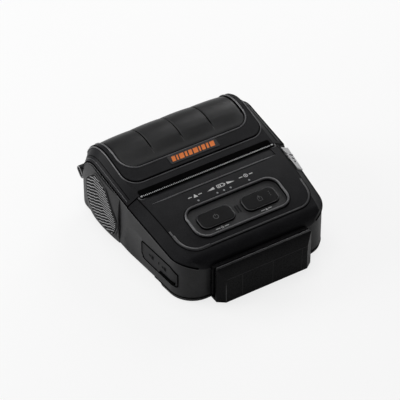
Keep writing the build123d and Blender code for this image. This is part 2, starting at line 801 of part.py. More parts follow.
with BuildPart() as platen_roller:
    rod(platen_radius, (-platen_half, platen_half), platen_y, platen_z)
    rod(shaft_radius, (-wide, wide), platen_y, platen_z, mode=Mode.SUBTRACT)
finish(platen_roller, "platen_roller")

# Gear train at the left: motor pinion, reduction gear and platen gear
inner_gear_x = (-liner_half - 0.2 - gear_width, -liner_half - 0.2)
outer_gear_x = (inner_gear_x[0] - gear_gap - gear_width, inner_gear_x[0] - gear_gap)
opening = (hinge_z - platen_z, platen_y - hinge_y)
opening = (opening[0] / hypot(*opening), opening[1] / hypot(*opening))
reduction_reach = gear_module * (platen_teeth + small_teeth) / 2 + mesh_slack
reduction_y = platen_y + opening[0] * reduction_reach
reduction_z = platen_z + opening[1] * reduction_reach
motor_reach = gear_module * (large_teeth + pinion_teeth) / 2 + mesh_slack
motor_angle = 208.0
motor_y = reduction_y + motor_reach * cos(radians(motor_angle))
motor_z = reduction_z + motor_reach * sin(radians(motor_angle))
platen_angle = degrees(atan2(platen_z - reduction_z, platen_y - reduction_y))
motor_radius = 7.5


def gear_wheel(teeth, y, z, x, phase):
    # Straight-sided wheel with the middle of one tooth at the phase angle
    radius = gear_module * teeth / 2
    root = radius - 1.2 * gear_module
    tip = radius + 0.85 * gear_module
    points = []
    for i in range(teeth):
        angle = phase + 360 * i / teeth
        points.append((root, angle - degrees(0.4 / root)))
        points.append((tip, angle - degrees(0.15 / tip)))
        points.append((tip, angle + degrees(0.15 / tip)))
        points.append((root, angle + degrees(0.4 / root)))
    spots = [(y + r * cos(radians(a)), z + r * sin(radians(a))) for r, a in points]
    with BuildPart() as wheel:
        with BuildSketch(Plane.YZ.offset(x[0])):
            with BuildLine():
                Polyline(*spots, close=True)
            make_face()
        extrude(amount=x[1] - x[0])
    return wheel.part


platen_phase = platen_angle + 180 + 180 / platen_teeth
platen_wheel = gear_wheel(platen_teeth, platen_y, platen_z, inner_gear_x, platen_phase)
small_wheel = gear_wheel(small_teeth, reduction_y, reduction_z, inner_gear_x, platen_angle)
large_wheel = gear_wheel(large_teeth, reduction_y, reduction_z, outer_gear_x, motor_angle)
pinion_wheel = gear_wheel(pinion_teeth, motor_y, motor_z, outer_gear_x, motor_angle + 180 + 180 / pinion_teeth)

with BuildPart() as platen_shaft:
    rod(shaft_radius, (inner_gear_x[0], liner_half + 0.3), platen_y, platen_z)
finish(platen_shaft, "platen_shaft")

with BuildPart() as platen_bushes:
    for side in (-1, 1):
        x = sorted((side * (plate_inner_x - 0.2), side * (liner_half - 0.85)))
        rod(bush_radius, x, platen_y, platen_z)
    rod(shaft_radius + 0.1, (-wide, wide), platen_y, platen_z, mode=Mode.SUBTRACT)
finish(platen_bushes, "platen_bushes")

with BuildPart() as platen_gear:
    add(platen_wheel)
    rod(shaft_radius, (-wide, wide), platen_y, platen_z, mode=Mode.SUBTRACT)
finish(platen_gear, "platen_gear")

with BuildPart() as reduction_gear:
    add(small_wheel)
    add(large_wheel)
    rod(2.2, (inner_gear_x[0] - 0.4, inner_gear_x[0] + 0.2), reduction_y, reduction_z)
    rod(1.0 + running, (-wide, wide), reduction_y, reduction_z, mode=Mode.SUBTRACT)
finish(reduction_gear, "reduction_gear")

with BuildPart() as motor_pinion:
    add(pinion_wheel)
    rod(1.0, (outer_gear_x[1] - 0.1, -41.8), motor_y, motor_z)
finish(motor_pinion, "motor_pinion")

with BuildPart() as stepper_motor:
    rod(motor_radius, (-plate_inner_x + 0.05, -27), motor_y, motor_z)
    chamfer(stepper_motor.faces().sort_by(Axis.X)[-1].edges(), 0.8)
    block((-30, -26.2), (motor_y - 4, motor_y + 4), (motor_z - 2, motor_z + 2))
    rod(1.0 + running, (-plate_inner_x - 1, -40.8), motor_y, motor_z, mode=Mode.SUBTRACT)
finish(stepper_motor, "stepper_motor")

# Print frame: two side plates, a bar across and a foot, with open seats for the platen bushes
head_y = 0.6
head_z = 33.4
head_back_y = -0.8
head_shaft_radius = 0.8
head_face_y = platen_y - platen_radius - play
bar_y = (-5.2, -4.2)
plate_x = (plate_inner_x, plate_inner_x + plate_thickness)

with BuildPart() as chassis:
    for side in (-1, 1):
        with BuildSketch(Plane.YZ.offset(side * (plate_inner_x + plate_thickness / 2))):
            with BuildLine():
                Polyline((-16, wall), (20, wall), (20, 22), (13, 27.5), (5, 27.5), (5, 34.9), (0, 34.9),
                         (-8, 33.6), (-13, 32.0), (-16, 29), close=True)
            make_face()
            with Locations((platen_y, platen_z)):
                Circle(bush_radius + play, mode=Mode.SUBTRACT)
            with Locations((latch_y, latch_z)):
                Circle(shaft_radius + running, mode=Mode.SUBTRACT)
            with Locations((head_y, head_z)):
                Circle(head_shaft_radius + 0.02, mode=Mode.SUBTRACT)
            with Locations((motor_y, motor_z)):
                Circle(1.4, mode=Mode.SUBTRACT)
            with Locations((12.5, 9), (-10, 9)):
                Circle(3.0, mode=Mode.SUBTRACT)
        extrude(amount=plate_thickness / 2, both=True)
    block((-40.0, 40.0), bar_y, (25.8, 32.5))
    block((-plate_x[0], plate_x[0]), bar_y, (25.8, 26.9))
    block((-plate_x[0], plate_x[0]), (-6, 10), (wall, wall + 1.2))
    rod(1.0, (outer_gear_x[0] + 0.1, -plate_x[0] - 0.2), reduction_y, reduction_z)
finish(chassis, "chassis")

with BuildPart() as head_shaft:
    rod(head_shaft_radius, (-plate_x[1], plate_x[1]), head_y, head_z)
finish(head_shaft, "head_shaft")

with BuildPart() as head_sink:
    block((-head_half, head_half), (head_back_y, head_face_y - 1.0), (24.5, head_z + 1.4))
    rod(head_shaft_radius + running, (-wide, wide), head_y, head_z, mode=Mode.SUBTRACT)
    with GridLocations(8, 0, 9, 1):
        with Locations((0, head_back_y, 28)):
            Box(5, 1.2, 5, mode=Mode.SUBTRACT)
finish(head_sink, "head_sink")

with BuildPart() as thermal_head:
    block((-head_half + 0.4, head_half - 0.4), (head_face_y - 1.0, head_face_y), (24.6, 31.5))
    block((-head_half - 1, head_half + 1), (head_face_y - 0.35, head_face_y + 1), (24.5, 26.6), mode=Mode.SUBTRACT)
finish(thermal_head, "thermal_head")

# Two leaf springs between the bar and the head
with BuildPart() as head_springs:
    for x in (-24, 24):
        with BuildSketch(Plane.YZ.offset(x)):
            with BuildLine():
                ThreePointArc((bar_y[1], 32), (-1.35, 28.8), (bar_y[1], 25.9))
                Line((bar_y[1], 25.9), (bar_y[1], 26.5))
                ThreePointArc((bar_y[1], 26.5), (-1.85, 28.8), (bar_y[1], 31.4))
                Line((bar_y[1], 31.4), (bar_y[1], 32))
            make_face()
        extrude(amount=3, both=True)
finish(head_springs, "head_springs")

# Release: the lever at the right turns the latch shaft and lifts both hooks off the platen shaft
crank_reach = lever_travel / sin(radians(latch_angle))
crank_x = (plate_x[1] + 0.7, plate_x[1] + 1.9)
arm_x = (45.8, 46.8)
hook_x = (40.7, 41.6)

with BuildPart() as latch_shaft:
    rod(shaft_radius, (-plate_x[1], crank_x[1]), latch_y, latch_z)
    rod(2.2, crank_x, latch_y, latch_z)
    block(crank_x, (latch_y - 1.6, latch_y + 1.6), (latch_z - crank_reach, latch_z))
    rod(1.6, crank_x, latch_y, latch_z - crank_reach)
    rod(1.0, (crank_x[1] - 0.1, arm_x[1] - 0.2), latch_y, latch_z - crank_reach)
finish(latch_shaft, "latch_shaft")

with BuildPart() as latch_hooks:
    for side in (-1, 1):
        with BuildSketch(Plane.YZ.offset(side * (hook_x[0] + hook_x[1]) / 2)):
            with BuildLine():
                Polyline((latch_y, 27.8), (-2, 28), (3, 28.2), (5.2, 29.8), (7.0, 30.8), (6.7, 31.8),
                         (4.6, 31.5), (2.6, 30.1), (-2, 30.1), (latch_y, 33.0), close=True)
            make_face()
            with Locations((latch_y, latch_z)):
                Circle(3.0)
                Circle(shaft_radius, mode=Mode.SUBTRACT)
        extrude(amount=(hook_x[1] - hook_x[0]) / 2, both=True)
finish(latch_hooks, "latch_hooks")


lever_form = casing_form(-lever_proud)
with BuildPart() as release_lever:
    add(lever_form)
    block((lever_inner_x, half_width + 5), lever_y, (lever_bottom_z, 60), mode=Mode.INTERSECT)
    for i in range(3):
        y = (lever_y[0] + lever_y[1]) / 2 - 2.6 + 2.6 * i
        block((lever_inner_x - 1, half_width + 1), (y, y + 1.2), (35, 60), mode=Mode.SUBTRACT)
    block(arm_x, (latch_y - 3.3, latch_y + 3.3), (latch_z - crank_reach - 2.4, lever_bottom_z + 1))
    with BuildSketch(Plane.YZ.offset(arm_x[0] - 1)):
        with Locations((latch_y, latch_z - crank_reach)):
            SlotOverall(3.6, 2.6, rotation=90)
    extrude(amount=4, mode=Mode.SUBTRACT)
finish(release_lever, "release_lever")

# Paper bay for a roll of 40 mm, with a black mark sensor ahead of it
bay_y = crown_y - 2.2
bay_z = 23.0
bay_radius = 19.3
bay_wall = 1.2
bay_half = 42.0
with BuildPart() as paper_bay:
    rod(bay_radius + bay_wall, (-bay_half, bay_half), bay_y, bay_z)
    rod(bay_radius, (-bay_half + bay_wall, bay_half - bay_wall), bay_y, bay_z, mode=Mode.SUBTRACT)
    block((-wide, wide), (0, 60), (bay_z + 1, 60), mode=Mode.SUBTRACT)
    block((-bay_half + bay_wall, bay_half - bay_wall), (0, bay_y), (bay_z - 3.6, 60), mode=Mode.SUBTRACT)
    block((-wide, wide), (bay_y, 60), (bay_z - 11.5, 60), mode=Mode.SUBTRACT)
finish(paper_bay, "paper_bay")

with BuildPart() as paper_sensor:
    block((-4, 4), (11.5, 14.1), (13, 18.5))
    block((-2.5, 2.5), (13.0, 15), (14.5, 17), mode=Mode.SUBTRACT)
finish(paper_sensor, "paper_sensor")

# Card reader: a plate on the nose, a swipe slot and a cover that holds the magnetic head
slot_face_y = front_y - reader_plate_depth
cover_inner_y = slot_face_y - swipe_gap
with BuildPart() as reader_plate:
    with BuildSketch(Plane.XZ.offset(-front_y + 0.05)) as plate_front:
        with Locations((0, (bottom_round + 0.2 + reader_top_z - 0.7) / 2)):
            Rectangle(2 * reader_half + 1.2, reader_top_z - 0.9 - bottom_round)
        fillet(plate_front.vertices().group_by(Axis.Y)[-1], 1.5)
    extrude(amount=reader_plate_depth - 0.05)
finish(reader_plate, "reader_plate")

with BuildPart() as reader_cover:
    with BuildSketch(Plane.YZ):
        with BuildLine():
            Polyline((reader_face_y, reader_bottom_z), (reader_face_y, reader_chamfer_z),
                     (reader_face_y + reader_chamfer_y, reader_top_z), (cover_inner_y, reader_top_z),
                     (cover_inner_y, reader_bottom_z + 1.6), (front_y - 0.3, reader_bottom_z + 1.6),
                     (front_y - 0.3, reader_bottom_z), close=True)
        make_face()
    extrude(amount=reader_half, both=True)
    with BuildSketch(Plane.XY):
        with BuildLine():
            Polyline((-reader_half, reader_face_y + reader_chamfer_y),
                     (-reader_half + reader_chamfer_x, reader_face_y),
                     (reader_half - reader_chamfer_x, reader_face_y),
                     (reader_half, reader_face_y + reader_chamfer_y),
                     (reader_half, 0), (-reader_half, 0), close=True)
        make_face()
    extrude(amount=40, mode=Mode.INTERSECT)
    fillet(reader_cover.edges().filter_by(Axis.Y).group_by(Axis.Z)[-1], 1.2)
    block((-4.3, 4.3), (cover_inner_y - 3.1, cover_inner_y + 0.5), (7.7, 14.3), mode=Mode.SUBTRACT)
finish(reader_cover, "reader_cover")

with BuildPart() as reader_head:
    block((-4, 4), (cover_inner_y - 3.0, cover_inner_y - 0.2), (8, 14))
    with Locations(Location((0, cover_inner_y - 0.8, 11), (0, 0, 0))):
        Cylinder(1.3, 6)
finish(reader_head, "reader_head")

# Loops for a shoulder strap, held in the rear corners
for lug, name in zip(lugs, ("left", "right")):
    with BuildPart() as strap_loop:
        add(lug)
    finish(strap_loop, f"strap_lug_{name}")

with BuildPart() as hinge_pin:
    rod(hinge_pin_radius, (-cover_tail_half + 0.3, cover_tail_half - 0.3), hinge_y, hinge_z)
finish(hinge_pin, "hinge_pin")
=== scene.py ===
import bpy
import bmesh
import json
import math
from mathutils import Matrix, Vector
from mathutils.bvhtree import BVHTree

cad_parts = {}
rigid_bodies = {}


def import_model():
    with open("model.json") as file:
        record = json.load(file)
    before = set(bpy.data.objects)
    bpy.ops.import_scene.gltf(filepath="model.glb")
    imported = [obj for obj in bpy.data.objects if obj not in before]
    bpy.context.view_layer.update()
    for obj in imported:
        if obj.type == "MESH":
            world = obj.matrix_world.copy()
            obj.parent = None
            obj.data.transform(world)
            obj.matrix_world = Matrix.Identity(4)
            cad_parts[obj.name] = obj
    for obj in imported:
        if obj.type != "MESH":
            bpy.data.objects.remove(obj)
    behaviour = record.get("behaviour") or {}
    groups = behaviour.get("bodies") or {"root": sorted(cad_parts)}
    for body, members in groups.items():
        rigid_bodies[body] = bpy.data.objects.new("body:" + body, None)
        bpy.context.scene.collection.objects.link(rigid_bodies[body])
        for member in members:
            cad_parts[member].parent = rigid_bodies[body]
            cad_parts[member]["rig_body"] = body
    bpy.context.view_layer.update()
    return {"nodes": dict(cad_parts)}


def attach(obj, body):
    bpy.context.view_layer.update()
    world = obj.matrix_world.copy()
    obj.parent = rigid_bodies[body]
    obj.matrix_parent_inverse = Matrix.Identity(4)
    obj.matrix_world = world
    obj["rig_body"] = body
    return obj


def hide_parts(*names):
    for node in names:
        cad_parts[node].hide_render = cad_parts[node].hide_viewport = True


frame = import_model()
nodes = frame["nodes"]
scene = bpy.context.scene
mm = 0.001
print("frame loaded:", len(nodes), "nodes")


def linearColour(hexText):
    # sRGB hex to the linear values that shaders take
    values = [int(hexText[i:i + 2], 16) / 255 for i in (1, 3, 5)]
    linear = [v / 12.92 if v <= 0.04045 else ((v + 0.055) / 1.055) ** 2.4 for v in values]
    return (*linear, 1.0)


def addNode(tree, kind, settings=None, inputs=None):
    # one node with its settings; each input is a plain value or the socket that feeds it
    node = tree.nodes.new(kind)
    for key, value in (settings or {}).items():
        setattr(node, key, value)
    for key, value in (inputs or {}).items():
        if isinstance(value, bpy.types.NodeSocket):
            tree.links.new(value, node.inputs[key])
        else:
            node.inputs[key].default_value = value
    return node


def newMaterial(name):
    material = bpy.data.materials.new(name)
    material.use_nodes = True
    material.node_tree.nodes.clear()
    return material, material.node_tree


# Shared by all finishes: width of the slow drift in tone, spread of the gloss and height of the grain; low and
# high cut the grain's noise, and tones are where the two colours stand in the drift
grainLook = {"drift": 9.0, "gloss": 0.05, "height": 0.1, "low": 0.3, "high": 0.7, "tones": (0.35, 0.65)}


def mouldedFinish(name, colours, roughness, grain, bump, specular=0.4, metal=0.0, sheen=0.0, speckle=0.12):
    # a slow drift between two tones, and a grain that shows in tone, gloss and height; real grains are
    # 0.02 to 0.2 mm wide and would not show, so they are drawn 0.2 to 0.6 mm wide
    material, tree = newMaterial(name)
    place = addNode(tree, "ShaderNodeTexCoord").outputs["Object"]
    drift = addNode(tree, "ShaderNodeTexNoise", {}, {"Vector": place, "Scale": 1 / (grainLook["drift"] * mm),
                                                     "Detail": 3.0})
    tone = addNode(tree, "ShaderNodeValToRGB", {}, {"Fac": drift.outputs["Fac"]})
    for stop, colour, position in zip(tone.color_ramp.elements, colours, grainLook["tones"]):
        stop.position = position
        stop.color = linearColour(colour)
    dots = addNode(tree, "ShaderNodeTexNoise", {}, {"Vector": place, "Scale": 1 / (grain * mm), "Detail": 2.0,
                                                    "Roughness": 0.6}).outputs["Fac"]
    spread = {"Value": dots, "From Min": grainLook["low"], "From Max": grainLook["high"]}
    gloss = addNode(tree, "ShaderNodeMapRange", {}, {**spread, "To Min": roughness - grainLook["gloss"],
                                                     "To Max": roughness + grainLook["gloss"]})
    speck = addNode(tree, "ShaderNodeMapRange", {}, {**spread, "To Min": 1 - speckle, "To Max": 1 + speckle})
    tint = addNode(tree, "ShaderNodeVectorMath", {"operation": "SCALE"},
                   {0: tone.outputs["Color"], "Scale": speck.outputs["Result"]})
    height = addNode(tree, "ShaderNodeBump", {}, {"Height": dots, "Strength": bump,
                                                  "Distance": grainLook["height"] * mm})
    shader = addNode(tree, "ShaderNodeBsdfPrincipled", {}, {
        "Base Color": tint.outputs["Vector"], "Roughness": gloss.outputs["Result"],
        "Normal": height.outputs["Normal"], "Specular IOR Level": specular, "Metallic": metal})
    if sheen:
        shader.inputs["Sheen Weight"].default_value = sheen
        shader.inputs["Sheen Roughness"].default_value = 0.4
    addNode(tree, "ShaderNodeOutputMaterial", {}, {"Surface": shader.outputs["BSDF"]})
    return material


# ABS from a spark-eroded mould: soft highlights, no reflections, a fine speckle
casingBlack = mouldedFinish("abs_spark_textured_black", ("#18181a", "#1c1c1e"), 0.44, 0.6, 0.5, 0.08, speckle=0.3)
# the same ABS on the lower half, lighter and a little smoother: partly its own tone, partly painted light for the
# sheen the side boxes throw on the flanks; the same grey is also painted light on the floor of the key recess, round
# each grip leaf and along the reader's front edge
greyCasingAndPaintedLight = mouldedFinish("abs_grey_casing_and_painted_light", ("#2a2a2b", "#303031"), 0.42, 0.6, 0.4, 0.2, speckle=0.2)
# painted highlights: lighter beads of the same moulding along rims, lips, ridges and edges, standing in for the light
# they catch as thin lines
highlightRim = mouldedFinish("abs_painted_highlight_rim", ("#4c4c4e", "#565658"), 0.3, 0.5, 0.1, 0.6)
softHighlightRim = mouldedFinish("abs_painted_soft_highlight_rim", ("#2e2e30", "#363638"), 0.34, 0.5, 0.1, 0.5)
# ABS from a polished mould: sharp highlights along the edges
readerGloss = mouldedFinish("abs_polished_black", ("#111112", "#151516"), 0.28, 0.5, 0.08, 0.08)
# TPE overmoulded on the cover: dull and slightly dusty
padRubber = mouldedFinish("tpe_overmould_matt", ("#1c1c1d", "#222223"), 0.42, 0.3, 0.3, 0.2, sheen=0.03)
# TPE grip: a near-black skin with light grey ribs on it; the rib grey is also the painted highlight ring at the mouth
# of each strap lug
gripRubber = mouldedFinish("tpe_grip_hollow", ("#0e0e0f", "#131314"), 0.6, 0.3, 0.3, 0.06)
ribGreyAndLugHighlight = mouldedFinish("tpe_grip_rib_and_painted_lug_highlight", ("#8a8a8b", "#989899"), 0.42, 0.3, 0.2, 0.3)
# near-black beads and sheets of painted shade in seams, gaps, grooves, creases, cuts and the paper slot, where only
# shade falls; also the dark signs on the socket cover: takes hardly any highlight
shadeAndSignBlack = mouldedFinish("painted_shade_and_sign_black", ("#040404", "#060606"), 0.9, 0.3, 0.1, 0.02)
# moulded silicone over the sockets: an even dull skin
coverRubber = mouldedFinish("silicone_cover_matt", ("#222223", "#272728"), 0.5, 0.3, 0.3, 0.16)
# silicone keys with a sprayed hard coat: a faint gloss
keyRubber = mouldedFinish("silicone_key_coated", ("#161617", "#1b1b1c"), 0.38, 0.3, 0.2, 0.08)
# natural acetal, machined: milky with a waxy shine
acetal = mouldedFinish("acetal_natural", ("#d8d5cb", "#e2dfd6"), 0.4, 0.4, 0.1)
# black PA6 of the inner mouldings: plain and dull
innerNylon = mouldedFinish("nylon_black_moulded", ("#161617", "#1b1b1c"), 0.5, 0.4, 0.25, 0.3)
# light grey ABS of the lever, moulded: pale beside the casing
leverGrey = mouldedFinish("abs_light_grey_lever", ("#bcbcbd", "#c6c6c7"), 0.4, 0.4, 0.2, 0.4)
# silicone rubber, ground round: velvety without a highlight
platenRubber = mouldedFinish("silicone_roller_ground", ("#252627", "#2c2d2e"), 0.62, 0.25, 0.3)
# FR4 board under solder mask: glossy green
boardMask = mouldedFinish("fr4_solder_mask_green", ("#123f24", "#17492b"), 0.35, 0.6, 0.1)
# clear polycarbonate light guides, unlit: pale grey dots
lensClear = mouldedFinish("polycarbonate_light_guide", ("#8a8c8e", "#989a9c"), 0.3, 0.5, 0.05, 0.5)
# stainless spring steel, blackened on the flat and bright where the teeth are cut
steelBlackened = mouldedFinish("stainless_blackened", ("#1c1c1d", "#242425"), 0.38, 0.2, 0.1, 0.3)
steelCut = mouldedFinish("stainless_teeth_cut", ("#c4c5c6", "#d0d1d2"), 0.35, 0.2, 0.1, 0.5, metal=0.2)
# bare metals: stamped sheet, ground shafts, zinc plate, drawn aluminium and turned brass, each with its own gloss
steelStamped = mouldedFinish("stainless_stamped", ("#a9abad", "#bcbec0"), 0.34, 0.2, 0.1, 0.5, metal=1.0)
steelGround = mouldedFinish("steel_ground_shaft", ("#8f9194", "#a2a4a7"), 0.28, 0.2, 0.1, 0.5, metal=1.0)
steelPlated = mouldedFinish("steel_zinc_plated", ("#8b8e91", "#9da0a3"), 0.38, 0.4, 0.15, 0.5, metal=1.0)
aluminiumExtruded = mouldedFinish("aluminium_extruded", ("#a9abae", "#b6b8bb"), 0.4, 0.3, 0.15, 0.5, metal=1.0)
brassCut = mouldedFinish("brass_cut", ("#a5843c", "#b8964a"), 0.32, 0.3, 0.1, 0.5, metal=1.0)
# glazed alumina of the print head: cream and glassy
ceramicGlazed = mouldedFinish("alumina_glazed", ("#c9c3b2", "#d5cfbf"), 0.22, 0.5, 0.05, 0.5)
# pad-printed inks: flat, a little duller than the plastic
inkWhite = mouldedFinish("pad_print_ink_white", ("#b9b9b9", "#c5c5c5"), 0.5, 0.2, 0.1, 0.3)
inkGrey = mouldedFinish("pad_print_ink_grey", ("#454546", "#4f4f50"), 0.5, 0.2, 0.1, 0.3)
inkOrange = mouldedFinish("pad_print_ink_orange", ("#dd6f22", "#e57a2e"), 0.45, 0.2, 0.1, 0.3)
print("materials made")

# Which CAD nodes have which finish
finishes = {
    casingBlack: "front_casing lid_shell", greyCasingAndPaintedLight: "lower_casing", padRubber: "lid_pad",
    coverRubber: "port_cover", gripRubber: "grip_pad_left grip_pad_right", keyRubber: "power_button feed_button",
    leverGrey: "release_lever", readerGloss: "reader_plate reader_cover", steelBlackened: "tear_bar",
    lensClear: "led_lenses", platenRubber: "platen_roller", brassCut: "motor_pinion",
    acetal: "platen_bushes platen_gear reduction_gear",
    innerNylon: "name_plate strap_lug_left strap_lug_right lid_liner paper_bay paper_sensor dc_jack battery_pack "
                "battery_contacts battery_latch",
    steelGround: "platen_shaft head_shaft latch_shaft hinge_pin", boardMask: "main_board key_board",
    steelPlated: "stepper_motor chassis latch_hooks base_screws", aluminiumExtruded: "head_sink",
    steelStamped: "reader_head head_springs usb_socket", ceramicGlazed: "thermal_head"}
for material, names in finishes.items():
    for name in names.split():
        nodes[name].data.materials.clear()
        nodes[name].data.materials.append(material)


def bodyOf(name):
    return nodes[name]["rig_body"]


sides = ((-1, "left"), (1, "right"))
# Sizes in millimetres that the added pieces share with the frame
form = {"slotY": 1.8, "slotZ": 38.04, "crownY": 36.7, "crownZ": 25.4, "crownRadius": 20.0,
        "panelPoints": ((-45.2, 29.6), (-20.5, 35.5), (1.8, 38.04)), "panelRise": 0.35, "coverRise": 0.7,
        "halfWidth": 50.0, "frontHalf": 46.3, "frontY": -50.2, "rearY": 56.7, "frontCorner": 15.0,
        "rearCorner": 9.0, "flankBend": 60.0, "ballRadius": 120.0, "ballMiddle": (-67.7, 28.0, 19.0),
        "islandY": -28.8, "islandDip": 1.5, "planStep": 0.25, "planNear": 0.3}
nearlyStraight = math.radians(89.5)


def roundPath(corners, radii, closed=False, step=0.6):
    # a run of points along straight lines and round corners
    path = []
    count = len(corners)
    for index, corner in enumerate(corners):
        here = Vector(corner)
        if not closed and index in (0, count - 1):
            path.append(here)
            continue
        before = (Vector(corners[index - 1]) - here).normalized()
        after = (Vector(corners[(index + 1) % count]) - here).normalized()
        half = before.angle(after) / 2
        radius = radii[index] if isinstance(radii, (list, tuple)) else radii
        if radius <= 0 or half > nearlyStraight:
            path.append(here)
            continue
        middle = here + (before + after).normalized() * radius / math.sin(half)
        start = here + before * radius / math.tan(half) - middle
        end = here + after * radius / math.tan(half) - middle
        sweep = start.angle(end)
        parts = max(3, int(sweep * radius / step))
        for part in range(parts + 1):
            share = part / parts
            path.append(middle + (start * math.sin((1 - share) * sweep) + end * math.sin(share * sweep))
                        / math.sin(sweep))
    dense = []
    total = len(path)
    for index in range(total if closed else total - 1):
        first, second = path[index], path[(index + 1) % total]
        parts = max(1, int((second - first).length / step))
        dense += [first.lerp(second, part / parts) for part in range(parts)]
    if not closed:
        dense.append(path[-1])
    return dense


planRight = roundPath([(0, form["frontY"]), (form["frontHalf"], form["frontY"]), (form["halfWidth"], form["slotY"]),
                       (form["halfWidth"], form["rearY"]), (0, form["rearY"])],
                      [0, form["frontCorner"], form["flankBend"], form["rearCorner"], 0],
                      step=form["planStep"])


def flankX(y):
    # distance of the flank from the middle at y, round corners included
    return max((point.x for point in planRight if abs(point.y - y) < form["planNear"]), default=0.0)


# the cover rises from the slot at a slope and passes into the round crown
runY, runZ = form["crownY"] - form["slotY"], form["crownZ"] - form["slotZ"]
slope = math.asin(form["crownRadius"] / math.hypot(runY, runZ)) + math.atan2(runZ, runY)
crownStart = form["crownY"] - form["crownRadius"] * math.sin(slope)


def coverPoint(x, along, rise):
    # a point over the roll cover: along is y as far as the crown, then the way round it
    if along <= crownStart:
        height = form["slotZ"] + (along - form["slotY"]) * math.tan(slope) + rise / math.cos(slope)
        return Vector((x, along, height))
    turned = slope - (along - crownStart) / form["crownRadius"]
    reach = form["crownRadius"] + rise
    return Vector((x, form["crownY"] - reach * math.sin(turned), form["crownZ"] + reach * math.cos(turned)))


def circleThrough(points):
    # middle and radius of the circle through three points in y and z
    (ax, az), (bx, bz), (cx, cz) = points
    d = 2 * (ax * (bz - cz) + bx * (cz - az) + cx * (az - bz))
    sa, sb, sc = ax * ax + az * az, bx * bx + bz * bz, cx * cx + cz * cz
    middleY = (sa * (bz - cz) + sb * (cz - az) + sc * (az - bz)) / d
    middleZ = (sa * (cx - bx) + sb * (ax - cx) + sc * (bx - ax)) / d
    return middleY, middleZ, math.hypot(ax - middleY, az - middleZ)


panelY, panelZ, panelRadius = circleThrough(form["panelPoints"])


def panelPoint(x, y, rise=0.0):
    # a point over the control panel
    return Vector((x, y, panelZ + math.sqrt((panelRadius + rise) ** 2 - (y - panelY) ** 2)))


(frontY, frontZ), (middleY, middleZ), _ = form["panelPoints"]
islandSlope = math.atan2(middleZ - frontZ, middleY - frontY) - math.radians(form["islandDip"])
islandOrigin = panelPoint(0, form["islandY"]) + Vector((0, 0, form["panelRise"]))


def islandPoint(x, across, height=0.0):
    # a point on the plane of the key recess
    return islandOrigin + Vector((x, across * math.cos(islandSlope) - height * math.sin(islandSlope),
                                  across * math.sin(islandSlope) + height * math.cos(islandSlope)))


def ballPoint(side, y, z, grow):
    # a point on the large ball that swells a flank
    cx, cy, cz = form["ballMiddle"]
    reach = form["ballRadius"] + grow
    return Vector((side * (cx + math.sqrt(reach ** 2 - (y - cy) ** 2 - (z - cz) ** 2)), y, z))


def opened(mesh):
    # a mesh to work on in bmesh
    work = bmesh.new()
    work.from_mesh(mesh)
    return work


def spaced(first, last, parts):
    # even steps from first to last, both ends included
    return [first + (last - first) * k / parts for k in range(parts + 1)]


def newPiece(name, mesh, material, body):
    piece = bpy.data.objects.new(name, mesh)
    scene.collection.objects.link(piece)
    if material:
        mesh.materials.clear()
        mesh.materials.append(material)
    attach(piece, body)
    return piece


def newTree(name, inputs):
    # a node tree with named inputs, and the sockets that they come from
    tree = bpy.data.node_groups.new(name, "GeometryNodeTree")
    for label, kind in inputs.items():
        tree.interface.new_socket(name=label, in_out="INPUT", socket_type="NodeSocket" + kind)
    tree.interface.new_socket(name="Geometry", in_out="OUTPUT", socket_type="NodeSocketGeometry")
    return tree, addNode(tree, "NodeGroupInput").outputs


def endTree(tree, geometry, material):
    # every tree ends alike: instances made real, then the material
    real = addNode(tree, "GeometryNodeRealizeInstances", {}, {"Geometry": geometry})
    dressed = addNode(tree, "GeometryNodeSetMaterial", {}, {"Geometry": real.outputs["Geometry"],
                                                           "Material": material})
    addNode(tree, "NodeGroupOutput", {}, {"Geometry": dressed.outputs["Geometry"]})


def endAsTube(tree, curve, given, facets):
    # a round bar along the curve, closed at its ends
    ring = addNode(tree, "GeometryNodeCurvePrimitiveCircle", {}, {"Resolution": facets, "Radius": given["Radius"]})
    tube = addNode(tree, "GeometryNodeCurveToMesh", {}, {"Curve": curve, "Profile Curve": ring.outputs["Curve"],
                                                         "Fill Caps": True})
    soft = addNode(tree, "GeometryNodeSetShadeSmooth", {}, {"Geometry": tube.outputs["Mesh"]})
    endTree(tree, soft.outputs["Geometry"], given["Material"])


def runMesh(name, start, tree, values):
    # runs a node tree on the start mesh and keeps the plain result
    holder = bpy.data.objects.new(name + "_holder", start)
    scene.collection.objects.link(holder)
    modifier = holder.modifiers.new("tree", "NODES")
    modifier.node_group = tree
    for socket in tree.interface.items_tree:
        if socket.name in values:
            modifier[socket.identifier] = values[socket.name]
    mesh = bpy.data.meshes.new_from_object(holder.evaluated_get(bpy.context.evaluated_depsgraph_get()))
    mesh.name = name
    holder.modifiers.remove(modifier)
    bpy.data.objects.remove(holder)
    bpy.data.meshes.remove(start)
    return mesh


def runTree(name, runs, tree, values, closed=False):
    # lays each run of points as a chain of edges and runs the node tree on them
    verts, edges = [], []
    for run in runs:
        start, count = len(verts), len(run)
        edges += [(start + k, start + (k + 1) % count) for k in range(count if closed else count - 1)]
        verts += [Vector(point) * mm for point in run]
    chain = bpy.data.meshes.new(name + "_chain")
    chain.from_pydata(verts, edges, [])
    return runMesh(name, chain, tree, values)


# Bead tree: a round bead of set thickness along a chain of points
beadTree, given = newTree("bead_along_path", {"Path": "Geometry", "Radius": "Float", "Material": "Material"})
beadCurve = addNode(beadTree, "GeometryNodeMeshToCurve", {}, {"Mesh": given["Path"]})
endAsTube(beadTree, beadCurve.outputs["Curve"], given, facets=8)


def bead(name, points, radius, material, body, closed=False):
    mesh = runTree(name, [points], beadTree, {"Radius": radius * mm, "Material": material}, closed)
    return newPiece(name, mesh, None, body)


